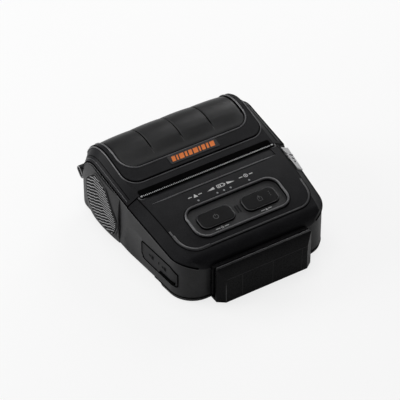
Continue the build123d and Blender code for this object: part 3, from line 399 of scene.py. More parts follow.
# Rib tree: flat runs of the grip pattern, given a wave, laid on the ball of the flank and made round
ribSizes = ("Radius", "Wave Height", "Wave Length", "Side", "Ball Radius", "Ball X", "Ball Y", "Ball Z")
ribTree, given = newTree("grip_ribs", {"Flat Runs": "Geometry", **{size: "Float" for size in ribSizes},
                                       "Material": "Material"})
runs = addNode(ribTree, "GeometryNodeMeshToCurve", {}, {"Mesh": given["Flat Runs"]})
where = addNode(ribTree, "GeometryNodeInputPosition")
split = addNode(ribTree, "ShaderNodeSeparateXYZ", {}, {0: where.outputs["Position"]})
sums = {"y": split.outputs["Y"], "z": split.outputs["Z"], **{size: given[size] for size in ribSizes}}
for result, operation, *terms in (
        ("angle", "MULTIPLY", "y", 2 * math.pi), ("turns", "DIVIDE", "angle", "Wave Length"),
        ("sine", "SINE", "turns"), ("swing", "MULTIPLY", "sine", "Wave Height"), ("ribZ", "ADD", "z", "swing"),
        ("offY", "SUBTRACT", "y", "Ball Y"), ("offZ", "SUBTRACT", "ribZ", "Ball Z"),
        ("squareY", "MULTIPLY", "offY", "offY"), ("squareZ", "MULTIPLY", "offZ", "offZ"),
        ("squares", "ADD", "squareY", "squareZ"), ("square", "MULTIPLY", "Ball Radius", "Ball Radius"),
        ("under", "SUBTRACT", "square", "squares"), ("root", "SQRT", "under"), ("out", "ADD", "root", "Ball X"),
        ("ribX", "MULTIPLY", "out", "Side")):
    step = addNode(ribTree, "ShaderNodeMath", {"operation": operation},
                   {place: sums.get(term, term) for place, term in enumerate(terms)})
    sums[result] = step.outputs["Value"]
spot = addNode(ribTree, "ShaderNodeCombineXYZ", {}, {"X": sums["ribX"], "Y": sums["y"], "Z": sums["ribZ"]})
laid = addNode(ribTree, "GeometryNodeSetPosition", {}, {"Geometry": runs.outputs["Curve"],
                                                        "Position": spot.outputs["Vector"]})
endAsTube(ribTree, laid.outputs["Geometry"], given, facets=6)

# Grip: outline of the leaf in y and z, and the ribs across it
grip = {"leaf": ((34.3, 36.0), (43.7, 27.0), (42.5, 12.5), (31.7, 4.8), (15.2, 4.8), (10.3, 15.0), (22.2, 33.0)),
        "corners": [9, 8, 9, 9, 5.5, 8, 9], "inset": 0.95, "pitch": 1.95, "radius": 0.3, "wave": 0.14,
        "waveLength": 5.5, "proud": 0.42, "rearSlope": 0.3, "frontSlope": 1.0, "bend": 3.0, "core": 1.0,
        "reach": 14.0, "along": (25, 26), "corner": 5.0, "edge": 0.55, "edgeProud": 0.05,
        "numbers": (-24, 40), "parts": 140, "shortest": 4}
leafPath = roundPath(grip["leaf"], grip["corners"], closed=True, step=0.35)
leafMiddle = sum(leafPath, Vector((0, 0))) / len(leafPath)
leafInner = [leafMiddle + (p - leafMiddle) * grip["inset"] for p in leafPath]
lengthwise = Vector(grip["along"]).normalized()
crosswise = Vector((lengthwise.y, -lengthwise.x))


def insideLeaf(spot):
    # whether a spot is inside the leaf, by counting the edges beside it
    within = False
    for first, second in zip(leafInner, leafInner[1:] + leafInner[:1]):
        if (first.y > spot.y) != (second.y > spot.y):
            cross = first.x + (spot.y - first.y) * (second.x - first.x) / (second.y - first.y)
            within = within != (spot.x < cross)
    return within


def ribRuns():
    # ribs across the leaf that bend down along its front side, each cut off at the leaf's outline
    runs = []
    for number in range(*grip["numbers"]):
        run = []
        for v in spaced(-grip["reach"], grip["reach"], grip["parts"]):
            past = v + grip["core"]
            fall = grip["frontSlope"] * (math.hypot(min(past, 0), grip["bend"]) - grip["bend"])
            u = number * grip["pitch"] + grip["rearSlope"] * max(past, 0) - fall
            spot = leafMiddle + lengthwise * u + crosswise * v
            if insideLeaf(spot):
                run.append((0, spot.x, spot.y))
            else:
                runs.append(run)
                run = []
        runs.append(run)
    return [run for run in runs if len(run) > grip["shortest"]]


ballX, ballY, ballZ = form["ballMiddle"]
for side, label in sides:
    values = {"Radius": grip["radius"] * mm, "Wave Height": grip["wave"] * mm, "Wave Length": grip["waveLength"] * mm,
              "Side": float(side), "Ball Radius": (form["ballRadius"] + grip["proud"]) * mm,
              "Ball X": ballX * mm, "Ball Y": ballY * mm, "Ball Z": ballZ * mm, "Material": ribGreyAndLugHighlight}
    newPiece("grip_ribs_" + label, runTree("grip_ribs_" + label, ribRuns(), ribTree, values), None,
             bodyOf("grip_pad_" + label))
    # a grey bead round the leaf: painted highlight on its rim
    edge = [ballPoint(side, p.x, p.y, grip["edgeProud"]) for p in roundPath(grip["leaf"], grip["corner"], True)]
    bead("grip_edge_" + label, edge, grip["edge"], greyCasingAndPaintedLight, bodyOf("grip_pad_" + label), True)
print("grip ribs laid")

# In degrees: edges sharper than the first are softened, and faces flatter to each other than the second are joined
copyRules = {"sharp": 28, "flat": 0.4, "segments": 2}
# Points nearer than this, in metres, are one; and which faces lie on a flank's ball, and how fine they are cut
samePoint = 1e-6
ballRules = {"on": 2e-5, "slant": 5, "cuts": 7, "near": 3e-4}


def smoothCopy(name, bevel, ball=None, shrink=0.0):
    # a merged copy of a CAD node with soft edges, which takes the node's place
    mesh = nodes[name].data.copy()
    mesh.name = name + "_soft"
    work = opened(mesh)
    bmesh.ops.remove_doubles(work, verts=work.verts, dist=samePoint)
    bmesh.ops.dissolve_limit(work, angle_limit=math.radians(copyRules["flat"]), verts=work.verts, edges=work.edges)
    if ball is not None:
        refineBall(work, ball)
    if shrink:
        work.normal_update()
        moves = [(vert, vert.normal.copy()) for vert in work.verts]
        for vert, outwards in moves:
            vert.co -= outwards * shrink * mm
    for face in work.faces:
        face.smooth = True
    weights = work.edges.layers.float.new("bevel_weight_edge")
    for edge in work.edges:
        if len(edge.link_faces) == 2:
            kinds = {face.material_index for face in edge.link_faces}
            if len(kinds) == 2 or edge.calc_face_angle(0) > math.radians(copyRules["sharp"]):
                edge.smooth = False
                edge[weights] = 1.0 if edge.is_convex and len(kinds) == 1 else 0.0
    for face in work.faces:
        face.material_index = 0
    work.to_mesh(mesh)
    work.free()
    piece = newPiece(name + "_soft", mesh, None, bodyOf(name))
    if bevel:
        edges = piece.modifiers.new("edges", "BEVEL")
        edges.width = bevel * mm
        edges.segments = copyRules["segments"]
        edges.limit_method = "WEIGHT"
    weighted = piece.modifiers.new("normals", "WEIGHTED_NORMAL")
    weighted.keep_sharp = True
    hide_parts(name)


def refineBall(work, grow):
    # cuts the coarse faces on the ball of each flank finer and puts them on the true ball; the index 1 marks them
    reach = (form["ballRadius"] + grow) * mm
    for side, _ in sides:
        middle = Vector((side * ballX, ballY, ballZ)) * mm
        edges = {}
        for face in work.faces:
            outward = (face.calc_center_median() - middle).normalized()
            if (all(abs((v.co - middle).length - reach) < ballRules["on"] for v in face.verts)
                    and face.normal.dot(outward) > math.cos(math.radians(ballRules["slant"]))):
                face.material_index = 1
                edges.update(dict.fromkeys(face.edges))
        bmesh.ops.subdivide_edges(work, edges=list(edges), cuts=ballRules["cuts"], use_grid_fill=True)
        for vert in {v for face in work.faces if face.material_index == 1 for v in face.verts}:
            away = vert.co - middle
            if abs(away.length - reach) < ballRules["near"]:
                vert.co = middle + away.normalized() * reach


# Bevel width of each soft copy, and how far its ball stands out
softEdges = {"lower_casing": 0.3, "front_casing": 0.3, "lid_shell": 0.35, "port_cover": 0.3,
             "power_button": 0.25, "feed_button": 0.25, "reader_plate": 0.3, "reader_cover": 0.5,
             "release_lever": 0.3, "strap_lug_left": 0.35, "strap_lug_right": 0.35, "battery_pack": 0.3,
             "grip_pad_left": 0.0, "grip_pad_right": 0.0}
balls = {"lower_casing": 0.0, "grip_pad_left": 0.4, "grip_pad_right": 0.4}
shrinks = {"port_cover": 0.12}
for name, bevel in softEdges.items():
    smoothCopy(name, bevel, balls.get(name), shrinks.get(name, 0.0))
print("soft-edged shells made")

# Cover pad: one skin with swelling fields between three narrow grooves
pad = {"half": 39.4, "front": 20.0, "corner": 9.0, "rear": 64.0, "rise": 0.35, "swell": 0.28, "groove": 0.8,
       "grooveHalf": 0.7, "grooves": (-19.3, 0.0, 19.3), "grooveStart": 24.0, "grooveFade": 6.0, "thick": 1.0,
       "bow": 0.85, "rim": 0.35, "rimWide": 1.2, "straight": 30.0, "line": (28.5, 61.5), "lineRise": 0.33,
       "lineRadius": 0.2, "lineParts": 40, "grooveTip": 0.35, "grooveCurve": 0.8, "swellCurve": 0.7, "frontRows": 12,
       "rearRows": 44}


def padColumns():
    # places across the pad, closer together round each groove and at the ends
    spots = set()
    for edge in pad["grooves"]:
        spots.update(round(edge + pad["grooveHalf"] * k / 4, 4) for k in range(-8, 9))
    spots.update(round(x, 4) for x in spaced(-pad["straight"], pad["straight"], 60))
    ends = pad["half"] - pad["straight"]
    spots.update(round(side * (pad["straight"] + ends * math.sin(a)), 4)
                 for side, _ in sides for a in spaced(0, math.pi / 2, 10))
    return sorted(spots)


def rimFall(distance):
    # how far the pad rounds down this close to its edge
    return pad["rim"] * max(0.0, 1 - distance / pad["rimWide"]) ** 2


def padHeight(x, along):
    # swelling of the fields and depth of the grooves at one place
    started = min(1.0, max(0.0, (along - pad["grooveStart"]) / pad["grooveFade"]))
    wide = pad["grooveTip"] + (1 - pad["grooveTip"]) * started
    nearest = min(abs(x - edge) for edge in pad["grooves"])
    cut = pad["groove"] * max(0.0, 1 - nearest / (pad["grooveHalf"] * wide)) ** pad["grooveCurve"]
    fields = sorted([-pad["half"], pad["half"], *pad["grooves"]])
    field = next(k for k in range(len(fields) - 1) if x <= fields[k + 1] + 1e-6)
    share = (x - fields[field]) / (fields[field + 1] - fields[field])
    swell = pad["swell"] * math.sin(math.pi * min(1, max(0, share))) ** pad["swellCurve"]
    bow = pad["bow"] * (1 - (x / pad["half"]) ** 2)
    return (swell - cut + bow) * started - rimFall(pad["half"] - abs(x)) - rimFall(along - pad["front"])


def outwardSkin(name, verts, faces):
    # a smooth skin, in millimetres, with its faces turned outwards
    mesh = bpy.data.meshes.new(name)
    mesh.from_pydata([vert * mm for vert in verts], [], faces)
    work = opened(mesh)
    bmesh.ops.remove_doubles(work, verts=work.verts, dist=2 * samePoint)
    bmesh.ops.recalc_face_normals(work, faces=work.faces)
    if sum(face.calc_center_median().dot(face.normal) for face in work.faces) < 0:
        bmesh.ops.reverse_faces(work, faces=work.faces)
    for face in work.faces:
        face.smooth = True
    work.to_mesh(mesh)
    work.free()
    return mesh


def gridFaces(rows, columns):
    # the quads between rows of points that were made one row after the other
    return [(r * columns + c, r * columns + c + 1, (r + 1) * columns + c + 1, (r + 1) * columns + c)
            for r in range(rows - 1) for c in range(columns - 1)]


columns = padColumns()
rows = [pad["front"] + pad["corner"] * (1 - math.cos(a)) for a in spaced(0, math.pi / 2, pad["frontRows"])]
rows += spaced(rows[-1], pad["rear"], pad["rearRows"])[1:]
verts = []
for along in rows:
    inwards = max(0.0, pad["front"] + pad["corner"] - along)
    half = pad["half"] - pad["corner"] + math.sqrt(max(0.0, pad["corner"] ** 2 - inwards ** 2))
    squeeze = (half - pad["straight"]) / (pad["half"] - pad["straight"])
    for x in columns:
        if abs(x) > pad["straight"]:
            x = math.copysign(pad["straight"] + (abs(x) - pad["straight"]) * squeeze, x)
        verts.append(coverPoint(x, along, form["coverRise"] - pad["rise"] + padHeight(x, along)))
mesh = outwardSkin("cover_pad", verts, gridFaces(len(rows), len(columns)))
piece = newPiece("cover_pad", mesh, padRubber, bodyOf("lid_pad"))
thick = piece.modifiers.new("thickness", "SOLIDIFY")
thick.thickness = pad["thick"] * mm
thick.offset = -1
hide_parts("lid_pad")
# a near-black bead of painted shade down each groove
for index, x in enumerate(pad["grooves"]):
    lineRise = form["coverRise"] - pad["rise"] + pad["lineRise"]
    run = [coverPoint(x, along, lineRise) for along in spaced(*pad["line"], pad["lineParts"])]
    bead(f"pad_groove_{index}", run, pad["lineRadius"], shadeAndSignBlack, bodyOf("lid_pad"))
print("cover pad made")

# Lips, ridges and creases of the cover, the panel and the key recess, named for the piece they make
cover = bodyOf("lid_shell")
casing = bodyOf("front_casing")
coverLips = {
    "pad_lip": {"half": 40.4, "front": 19.0, "corner": 9.9, "rise": 0.55, "rear": 62.0, "thick": 0.5},
    "pad_gap": {"half": 39.65, "front": 19.75, "corner": 9.2, "rise": 0.45, "rear": 62.0, "thick": 0.3,
                "slot": "pad_rubber"},
    "field_crease": {"half": 43.35, "front": 10.85, "corner": 8.1, "rise": 0.0, "rear": 60.0, "thick": 0.5},
    "field_foot": {"half": 43.9, "front": 10.1, "corner": 8.6, "rise": -0.2, "rear": 60.0, "thick": 0.42}}
panel = {"front": -44.0, "rear": 1.4, "rearHalf": 44.0, "frontHalf": 41.2, "corner": 11.0}
panelLips = {
    "panel_lip": {"grow": -0.7, "rise": -0.1, "leftOf": 50.0, "before": -27.0, "thick": 0.7},
    "panel_lip_corner": {"grow": -0.9, "rise": -0.25, "leftOf": -26.0, "before": -30.0, "thick": 1.05},
    "panel_crease": {"grow": 0.12, "rise": 0.0, "leftOf": 50.0, "before": 5.0, "thick": 0.22}}
ridge = {"half": 39.3, "y": -6.3, "sunk": 0.25, "endSunk": 0.35, "fadeFrom": 0.6, "thick": 0.55,
         "parts": 80}
ridgeShade = {"from": -22.0, "to": 33.0, "y": -7.0, "sunk": 0.08, "thick": 0.2, "parts": 30}
slotLip = {"x": 43.2, "rear": 1.4, "front": -1.0, "bend": 1.4, "long": 2.6, "sunk": 0.15, "thick": 0.4}
islandLips = {"island_lip": {"size": (58.2, 20.8), "corner": 6.9, "rise": 0.25, "thick": 0.7},
              "island_foot": {"size": (56.9, 19.5), "corner": 6.2, "rise": -0.85, "thick": 0.25},
              "island_hem": {"size": (60.0, 22.6), "corner": 7.8, "rise": 0.0, "thick": 0.22}}
# lips with painted highlight, by name; all others are dark creases and gaps of painted shade
litLips = {"pad_lip": highlightRim, "field_foot": highlightRim, "panel_lip": softHighlightRim, "panel_lip_corner": softHighlightRim,
           "island_lip": highlightRim}


def boxCorners(x, y, wide, high, lean=0.0):
    # corners of a box that stands upright or leans over to the right
    return [(x + along * wide / 2 + across * lean / 2, y + across * high / 2)
            for along, across in ((-1, -1), (1, -1), (1, 1), (-1, 1))]


def islandLoop(x, across, size, corner, height, step=0.5):
    # a round-cornered loop on the plane of the key recess
    return [islandPoint(p.x, p.y, height) for p in roundPath(boxCorners(x, across, *size), corner, True, step)]


for name, lip in coverLips.items():
    half, front, rear, bend = lip["half"], lip["front"], lip["rear"], lip["corner"]
    loop = roundPath([(-half, rear), (-half, front), (half, front), (half, rear)], [0, bend, bend, 0], step=0.8)
    run = [coverPoint(p.x, p.y, lip["rise"]) for p in loop]
    bead(name, run, lip["thick"], litLips.get(name, shadeAndSignBlack), cover)
for name, lip in panelLips.items():
    rearHalf, frontHalf = panel["rearHalf"] + lip["grow"], panel["frontHalf"] + lip["grow"]
    front, bend = panel["front"] - lip["grow"], panel["corner"] + lip["grow"]
    loop = roundPath([(-rearHalf, panel["rear"]), (-frontHalf, front), (frontHalf, front), (rearHalf, panel["rear"])],
                     [0, bend, bend, 0], step=0.8)
    run = [panelPoint(p.x, p.y, lip["rise"]) for p in loop if p.x < lip["leftOf"] and p.y < lip["before"]]
    bead(name, run, lip["thick"], litLips.get(name, shadeAndSignBlack), casing)
# the ridge as a bead of painted highlight, sunk further towards its ends
run = []
for x in spaced(-ridge["half"], ridge["half"], ridge["parts"]):
    fade = max(0.0, abs(x) / ridge["half"] - ridge["fadeFrom"]) / (1 - ridge["fadeFrom"])
    run.append(panelPoint(x, ridge["y"], form["panelRise"] - ridge["sunk"] - ridge["endSunk"] * fade))
bead("panel_ridge", run, ridge["thick"], highlightRim, casing)
bead("ridge_shade", [panelPoint(x, ridgeShade["y"], form["panelRise"] - ridgeShade["sunk"])
                     for x in spaced(ridgeShade["from"], ridgeShade["to"], ridgeShade["parts"])],
     ridgeShade["thick"], shadeAndSignBlack, casing)
# painted highlight round each end of the slot
for side, label in sides:
    bend = roundPath([(side * slotLip["x"], slotLip["rear"]), (side * slotLip["x"], slotLip["front"]),
                      (side * (slotLip["x"] - slotLip["long"]), slotLip["front"])], [0, slotLip["bend"], 0])
    bead("slot_lip_" + label, [panelPoint(p.x, p.y, form["panelRise"] - slotLip["sunk"]) for p in bend],
         slotLip["thick"], softHighlightRim, casing)
for name, lip in islandLips.items():
    bead(name, islandLoop(0, 0, lip["size"], lip["corner"], lip["rise"]), lip["thick"],
         litLips.get(name, shadeAndSignBlack), casing, True)
print("lips and creases laid")


# What counts as the seam: the angle between its faces in degrees, the slant of the cut and of the outside wall, and
# how near to the outside it runs
seamRules = {"sharp": 15, "level": 0.03, "down": -0.15, "sideways": 0.25, "forwards": -0.5, "near": 0.6}


def seamChain(name, test):
    # the points of one sharp edge of a CAD node, in order
    work = opened(nodes[name].data)
    bmesh.ops.remove_doubles(work, verts=work.verts, dist=samePoint)
    links, sharp = {}, math.radians(seamRules["sharp"])
    for edge in work.edges:
        if len(edge.link_faces) == 2 and edge.calc_face_angle(0) > sharp and test(edge):
            a, b = (tuple(round(value / mm, 3) for value in v.co) for v in edge.verts)
            links.setdefault(a, []).append(b)
            links.setdefault(b, []).append(a)
    work.free()
    chains = []
    while links:
        ends = [point for point, near in links.items() if len(near) == 1] or list(links)
        here = ends[0]
        chain = [here]
        while links.get(here):
            there = links[here].pop()
            links[there].remove(here)
            if not links[here]:
                del links[here]
            here = there
            chain.append(here)
        links.pop(here, None)
        if len(chain) > 2:
            chains.append(chain)
    return sorted(chains, key=len)[::-1]


def atSeam(edge):
    # one face cut along the seam, the other a part of the outside
    for cut, wall in (edge.link_faces, list(edge.link_faces)[::-1]):
        n, w = cut.normal, wall.normal
        middle = (edge.verts[0].co + edge.verts[1].co) / 2 / mm
        if abs(n.x) < seamRules["level"] and n.z < seamRules["down"]:
            near = seamRules["near"]
            outside = abs(abs(middle.x) - flankX(middle.y)) < near or middle.y < form["frontY"] + near
            if outside and (abs(w.x) > seamRules["sideways"] or w.y < seamRules["forwards"]):
                return True
    return False


# Seams: a dark bead of painted shade in the gap, and a painted highlight on the lit edge of the lower casing under it
seam = {"thick": 0.42, "edgeThick": 0.24, "edgeDrop": 0.75, "edgeOut": 1.0005}
for name, label in (("front_casing", "front_seam"), ("lid_shell", "cover_seam")):
    for index, chain in enumerate(seamChain(name, atSeam)[:2]):
        bead(f"{label}_{index}", chain, seam["thick"], shadeAndSignBlack, bodyOf(name))
        lower = [(x * seam["edgeOut"], y, z - seam["edgeDrop"]) for x, y, z in chain]
        bead(f"{label}_edge_{index}", lower, seam["edgeThick"], softHighlightRim, bodyOf("lower_casing"))
print("seams laid")

surfaces = {}
downwards = (0, 0, -1)


def dropOn(name, start, direction, lift=0.0):
    # the first point of a CAD node's surface along a line, lifted off it
    if name not in surfaces:
        work = opened(nodes[name].data)
        surfaces[name] = BVHTree.FromBMesh(work)
        work.free()
    hit, normal, *_ = surfaces[name].ray_cast(Vector(start) * mm, Vector(direction).normalized())
    return None if hit is None else hit / mm + normal * lift


def beadOver(label, name, starts, direction, lift, radius, material):
    # a bead over one node, where lines from the start points meet it
    points = [point for point in (dropOn(name, start, direction, lift) for start in starts) if point]
    if len(points) > 2:
        bead(label, points, radius, material, bodyOf(name))


# Creases in the shoulders of the cover as painted shade, the faint edge outside them as painted highlight, and the
# rim before each grip bulge
shoulder = {"from": 4.5, "to": 48.5, "x": 47.1, "widen": 0.3, "lift": -0.05, "thick": 0.2,
            "parts": 60}
shoulderEdge = {"x": 48.6, "lift": -0.12, "thick": 0.24}
gripRim = {"y": 10.3, "lean": 1.2, "from": 6.0, "to": 34.0, "lift": -0.2, "thick": 0.6, "parts": 40}
aboveAll, besideAll = 80, 90
along = spaced(shoulder["from"], shoulder["to"], shoulder["parts"])
for side, label in sides:
    starts = [(side * (shoulder["x"] + shoulder["widen"] * k / shoulder["parts"]), y, aboveAll)
              for k, y in enumerate(along)]
    beadOver("shoulder_crease_" + label, "lid_shell", starts, downwards, shoulder["lift"], shoulder["thick"],
             shadeAndSignBlack)
    beadOver("shoulder_edge_" + label, "lid_shell", [(side * shoulderEdge["x"], y, aboveAll) for y in along],
             downwards, shoulderEdge["lift"], shoulderEdge["thick"], softHighlightRim)
for side, label in sides:
    starts = [(side * besideAll, gripRim["y"] + gripRim["lean"] * (1 - z / gripRim["to"]), z)
              for z in spaced(gripRim["from"], gripRim["to"], gripRim["parts"])]
    beadOver("grip_rim_" + label, "lower_casing", starts, (-side, 0, 0), gripRim["lift"], gripRim["thick"],
             greyCasingAndPaintedLight)
print("creases laid")

insideAll = Vector((0, 0, 20)) * mm


def flatSkin(name, work, material, body):
    # ends a thin skin: faces turned away from the inside of the printer
    work.normal_update()
    for face in work.faces:
        if face.normal.dot(face.calc_center_median() - insideAll) < 0:
            face.normal_flip()
    mesh = bpy.data.meshes.new(name)
    work.to_mesh(mesh)
    work.free()
    return newPiece(name, mesh, material, body)


def laidSkin(name, outlines, place, material, body):
    # flat outlines laid on a surface by place(x, y)
    work = bmesh.new()
    for outline in outlines:
        work.faces.new([work.verts.new(place(*spot) * mm) for spot in outline])
    bmesh.ops.triangulate(work, faces=work.faces, ngon_method="BEAUTY")
    return flatSkin(name, work, material, body)


# Repeat tree: one small shape along a line at even steps
repeatTree, given = newTree("repeat_along_line", {"Shape": "Geometry", "Count": "Int", "First Place": "Vector",
                                                  "Step": "Vector", "Material": "Material"})
line = addNode(repeatTree, "GeometryNodeMeshLine", {"mode": "OFFSET"},
               {"Count": given["Count"], "Start Location": given["First Place"], "Offset": given["Step"]})
placed = addNode(repeatTree, "GeometryNodeInstanceOnPoints", {}, {"Points": line.outputs["Mesh"],
                                                                 "Instance": given["Shape"]})
endTree(repeatTree, placed.outputs["Instances"], given["Material"])


def repeatShape(name, verts, faces, count, start, step, material, body, slotName, smooth=True):
    shape = bpy.data.meshes.new(name + "_shape")
    shape.from_pydata([Vector(v) * mm for v in verts], [], faces)
    if smooth:
        shape.shade_smooth()
    values = {"Count": count, "First Place": tuple(Vector(start) * mm), "Step": tuple(Vector(step) * mm),
              "Material": material}
    return newPiece(name, runMesh(name, shape, repeatTree, values), None, body)


# Round end of a rib: how far along and how wide, as shares of its radius
roundEnd = ((0.0, 0.15), (0.3, 0.7), (1.0, 1.0))


def capsule(length, radius, parts=8):
    # a rounded rib along y
    ends = [(-length / 2 + radius * along, share) for along, share in roundEnd]
    rings = ends + [(-y, share) for y, share in ends[::-1]]
    verts = [(radius * share * math.cos(turn), y, radius * share * math.sin(turn))
             for y, share in rings for turn in spaced(0, 2 * math.pi, parts)[:-1]]
    faces = [(r * parts + k, (r + 1) * parts + k, (r + 1) * parts + (k + 1) % parts, r * parts + (k + 1) % parts)
             for r in range(len(rings) - 1) for k in range(parts)]
    caps = [tuple(range(parts)), tuple(range((len(rings) - 1) * parts, len(rings) * parts))[::-1]]
    return verts, faces + caps


def stripOutline(strip):
    # a long round-cornered strip across the printer
    corners = boxCorners(0, (strip["front"] + strip["rear"]) / 2, 2 * strip["half"], strip["rear"] - strip["front"])
    return roundPath(corners, strip["corner"], True)


# Comb behind the slot: a near-black band, painted shade of the paper slot, with ribs that guide the paper
comb = {"half": 41.8, "front": 1.98, "rear": 5.9, "corner": 1.2, "lift": 0.06, "pitch": 9.7, "ribs": 9,
        "ribRadius": 0.26, "ribLong": 3.9, "ribY": 3.95, "ribSunk": 0.02}
laidSkin("comb_band", [stripOutline(comb)], lambda x, y: coverPoint(x, y, comb["lift"]), shadeAndSignBlack, cover)
firstRib = coverPoint(-comb["pitch"] * (comb["ribs"] - 1) / 2, comb["ribY"], -comb["ribSunk"])
repeatShape("comb_ribs", *capsule(comb["ribLong"], comb["ribRadius"]), comb["ribs"], firstRib, (comb["pitch"], 0, 0),
            shadeAndSignBlack, cover, "casing_black")
# Tear bar: a near-black bed of painted shade in front, and teeth cut along it
bed = {"half": 42.4, "front": -0.5, "rear": 1.75, "corner": 1.0, "lift": 0.06}
teeth = {"count": 75, "pitch": 1.08, "long": 0.95, "wide": 0.5, "thick": 0.35, "y": 0.9, "z": 38.66, "fall": 0.05}


def overPanel(x, y):
    return panelPoint(x, y, form["panelRise"] + bed["lift"])


laidSkin("tear_bed", [stripOutline(bed)], overPanel, shadeAndSignBlack, casing)
half, thick = teeth["wide"] / 2, teeth["thick"]
verts = [(-half, 0, 0), (half, 0, 0), (half, 0, -thick), (-half, 0, -thick), (0, teeth["long"], -teeth["fall"]),
         (0, teeth["long"], -thick)]
faces = [(0, 1, 4), (1, 2, 5, 4), (3, 0, 4, 5), (2, 3, 5), (0, 3, 2, 1)]
repeatShape("tear_teeth", verts, faces, teeth["count"],
            (-teeth["pitch"] * (teeth["count"] - 1) / 2, teeth["y"], teeth["z"]), (teeth["pitch"], 0, 0),
            steelCut, bodyOf("tear_bar"), "tear_steel", smooth=False)
# dark beads of painted shade where the cover meets the casing beside the slot
joint = {"from": 41.4, "to": 49.9, "y": 2.2, "lift": -0.1, "thick": 0.3, "parts": 20}
for side, label in sides:
    starts = [(side * x, joint["y"], aboveAll) for x in spaced(joint["from"], joint["to"], joint["parts"])]
    beadOver("cover_joint_" + label, "lid_shell", starts, downwards, joint["lift"], joint["thick"], shadeAndSignBlack)
print("comb and teeth made")


# Printed marks: plain pictograms in place of words
def ringOutlines(x, y, radius, wide, gap=0.0, parts=20):
    # a ring as small quads, open by gap radians at its top
    turns = spaced(math.pi / 2 + gap / 2, math.pi * 2.5 - gap / 2, parts)
    inner = radius - wide
    return [[(x + reach * math.cos(turn), y + reach * math.sin(turn))
             for reach, turn in ((radius, first), (radius, second), (inner, second), (inner, first))]
            for first, second in zip(turns, turns[1:])]


def overFloor(x, y):
    return islandPoint(x, y, recess["floor"] + 0.02)


def overKey(x, y):
    return islandPoint(x, y, recess["keyTop"])


recess = {"size": (56.4, 19.2), "corner": 6.0, "keys": (-13.9, 13.9), "across": -0.6, "opening": (21.8, 11.2),
          "openingCorner": 4.0, "floor": -0.86, "keyTop": 0.36, "rim": (20.6, 10.0), "rimCorner": 3.4,
          "rimRise": 0.12, "rimThick": 0.24}
# Each mark has bars (middle, width, height), wedges and a ring (middle, radius, width, gap), in millimetres
marks = {
    "light_marks": {
        "over": overPanel, "ink": inkWhite, "on": "front_casing", "slot": "casing_black",
        "bars": ((0, -10.9, 4.2, 0.4), (0, -12.8, 4.2, 0.4), (-2.1, -11.85, 0.4, 1.9), (2.1, -11.85, 0.4, 1.9),
                 (2.7, -11.85, 0.5, 0.9), (-1.1, -11.85, 0.6, 1.1), (0, -11.85, 0.6, 1.1), (-19.3, -11.9, 2.2, 0.5),
                 (-12.9, -11.9, 2.2, 0.5), (12.9, -11.9, 2.2, 0.5), (19.3, -11.9, 2.2, 0.5), (16.1, -11.9, 0.5, 1.0)),
        "wedges": [[(-17.4, -13.0), (-16.0, -10.6), (-14.6, -13.0)], [(-8.6, -12.4), (-4.0, -12.7), (-4.0, -10.9)],
                   [(8.6, -12.4), (4.0, -10.9), (4.0, -12.7)]],
        "ring": (16.1, -11.9, 1.25, 0.4)},
    "key_marks": {
        "over": overFloor, "ink": inkWhite, "on": "front_casing", "slot": "casing_black",
        "bars": ((-13.9, -7.0, 0.28, 0.8), (-16.6, -7.55, 2.6, 0.45), (-11.2, -7.55, 2.6, 0.45),
                 (13.9, -8.1, 1.6, 0.25), (11.7, -7.55, 2.2, 0.45), (16.1, -7.55, 2.2, 0.45)),
        "wedges": [[(13.3, -7.9), (14.5, -7.9), (13.9, -6.9)]], "ring": (-13.9, -7.55, 0.75, 0.25, 1.1)},
    "power_symbol": {
        "over": overKey, "ink": inkGrey, "on": "power_button", "slot": "button_rubber",
        "bars": ((-13.9, 0.5, 0.4, 1.5),), "ring": (-13.9, -0.6, 1.6, 0.4, 0.9)},
    "feed_symbol": {
        "over": overKey, "ink": inkGrey, "on": "feed_button", "slot": "button_rubber",
        "bars": ((12.7, -0.8, 0.3, 2.6), (15.1, -0.8, 0.3, 2.6), (13.9, -2.0, 2.4, 0.3), (13.9, 0.0, 0.4, 1.2),
                 (20.6, 1.6, 0.5, 0.5), (20.6, 0.3, 0.5, 0.5), (20.6, -1.0, 0.5, 0.5)),
        "wedges": [[(13.0, 0.5), (14.8, 0.5), (13.9, 1.8)]]}}
for name, mark in marks.items():
    outlines = [boxCorners(*bar) for bar in mark["bars"]] + mark.get("wedges", [])
    if "ring" in mark:
        outlines += ringOutlines(*mark["ring"])
    laidSkin(name, outlines, mark["over"], mark["ink"], bodyOf(mark["on"]))
# Slanted bars of uneven width on the name plate
plateBars = {"from": -13.6, "y": 15.6, "high": 3.3, "gap": 0.8, "lean": 0.8, "lift": 0.38,
             "widths": (2.2, 1.0, 2.8, 1.4, 2.2, 2.8, 1.0, 2.2, 1.4, 2.8)}
bars, x = [], plateBars["from"]
for wide in plateBars["widths"]:
    bars.append(boxCorners(x + wide / 2, plateBars["y"], wide, plateBars["high"], plateBars["lean"]))
    x += wide + plateBars["gap"]
laidSkin("plate_bars", bars, lambda x, y: coverPoint(x, y, form["coverRise"] + plateBars["lift"]), inkOrange,
         cover)
# Floor of the key recess, with openings for the two keys, painted a lighter grey to lift the shade of the recess; and
# a rim of painted highlight round each key
loops = [islandLoop(0, 0, recess["size"], recess["corner"], recess["floor"], step=0.8)]
loops += [islandLoop(x, recess["across"], recess["opening"], recess["openingCorner"], recess["floor"], step=0.8)
          for x in recess["keys"]]
work = bmesh.new()
for loop in loops:
    made = [work.verts.new(point * mm) for point in loop]
    for first, second in zip(made, made[1:] + made[:1]):
        work.edges.new((first, second))
bmesh.ops.triangle_fill(work, edges=work.edges, use_beauty=True, use_dissolve=False)
flatSkin("key_floor", work, greyCasingAndPaintedLight, casing)
for x, node in zip(recess["keys"], ("power_button", "feed_button")):
    bead(node + "_rim", islandLoop(x, recess["across"], recess["rim"], recess["rimCorner"], recess["rimRise"]),
         recess["rimThick"], softHighlightRim, bodyOf(node), True)
print("marks printed")
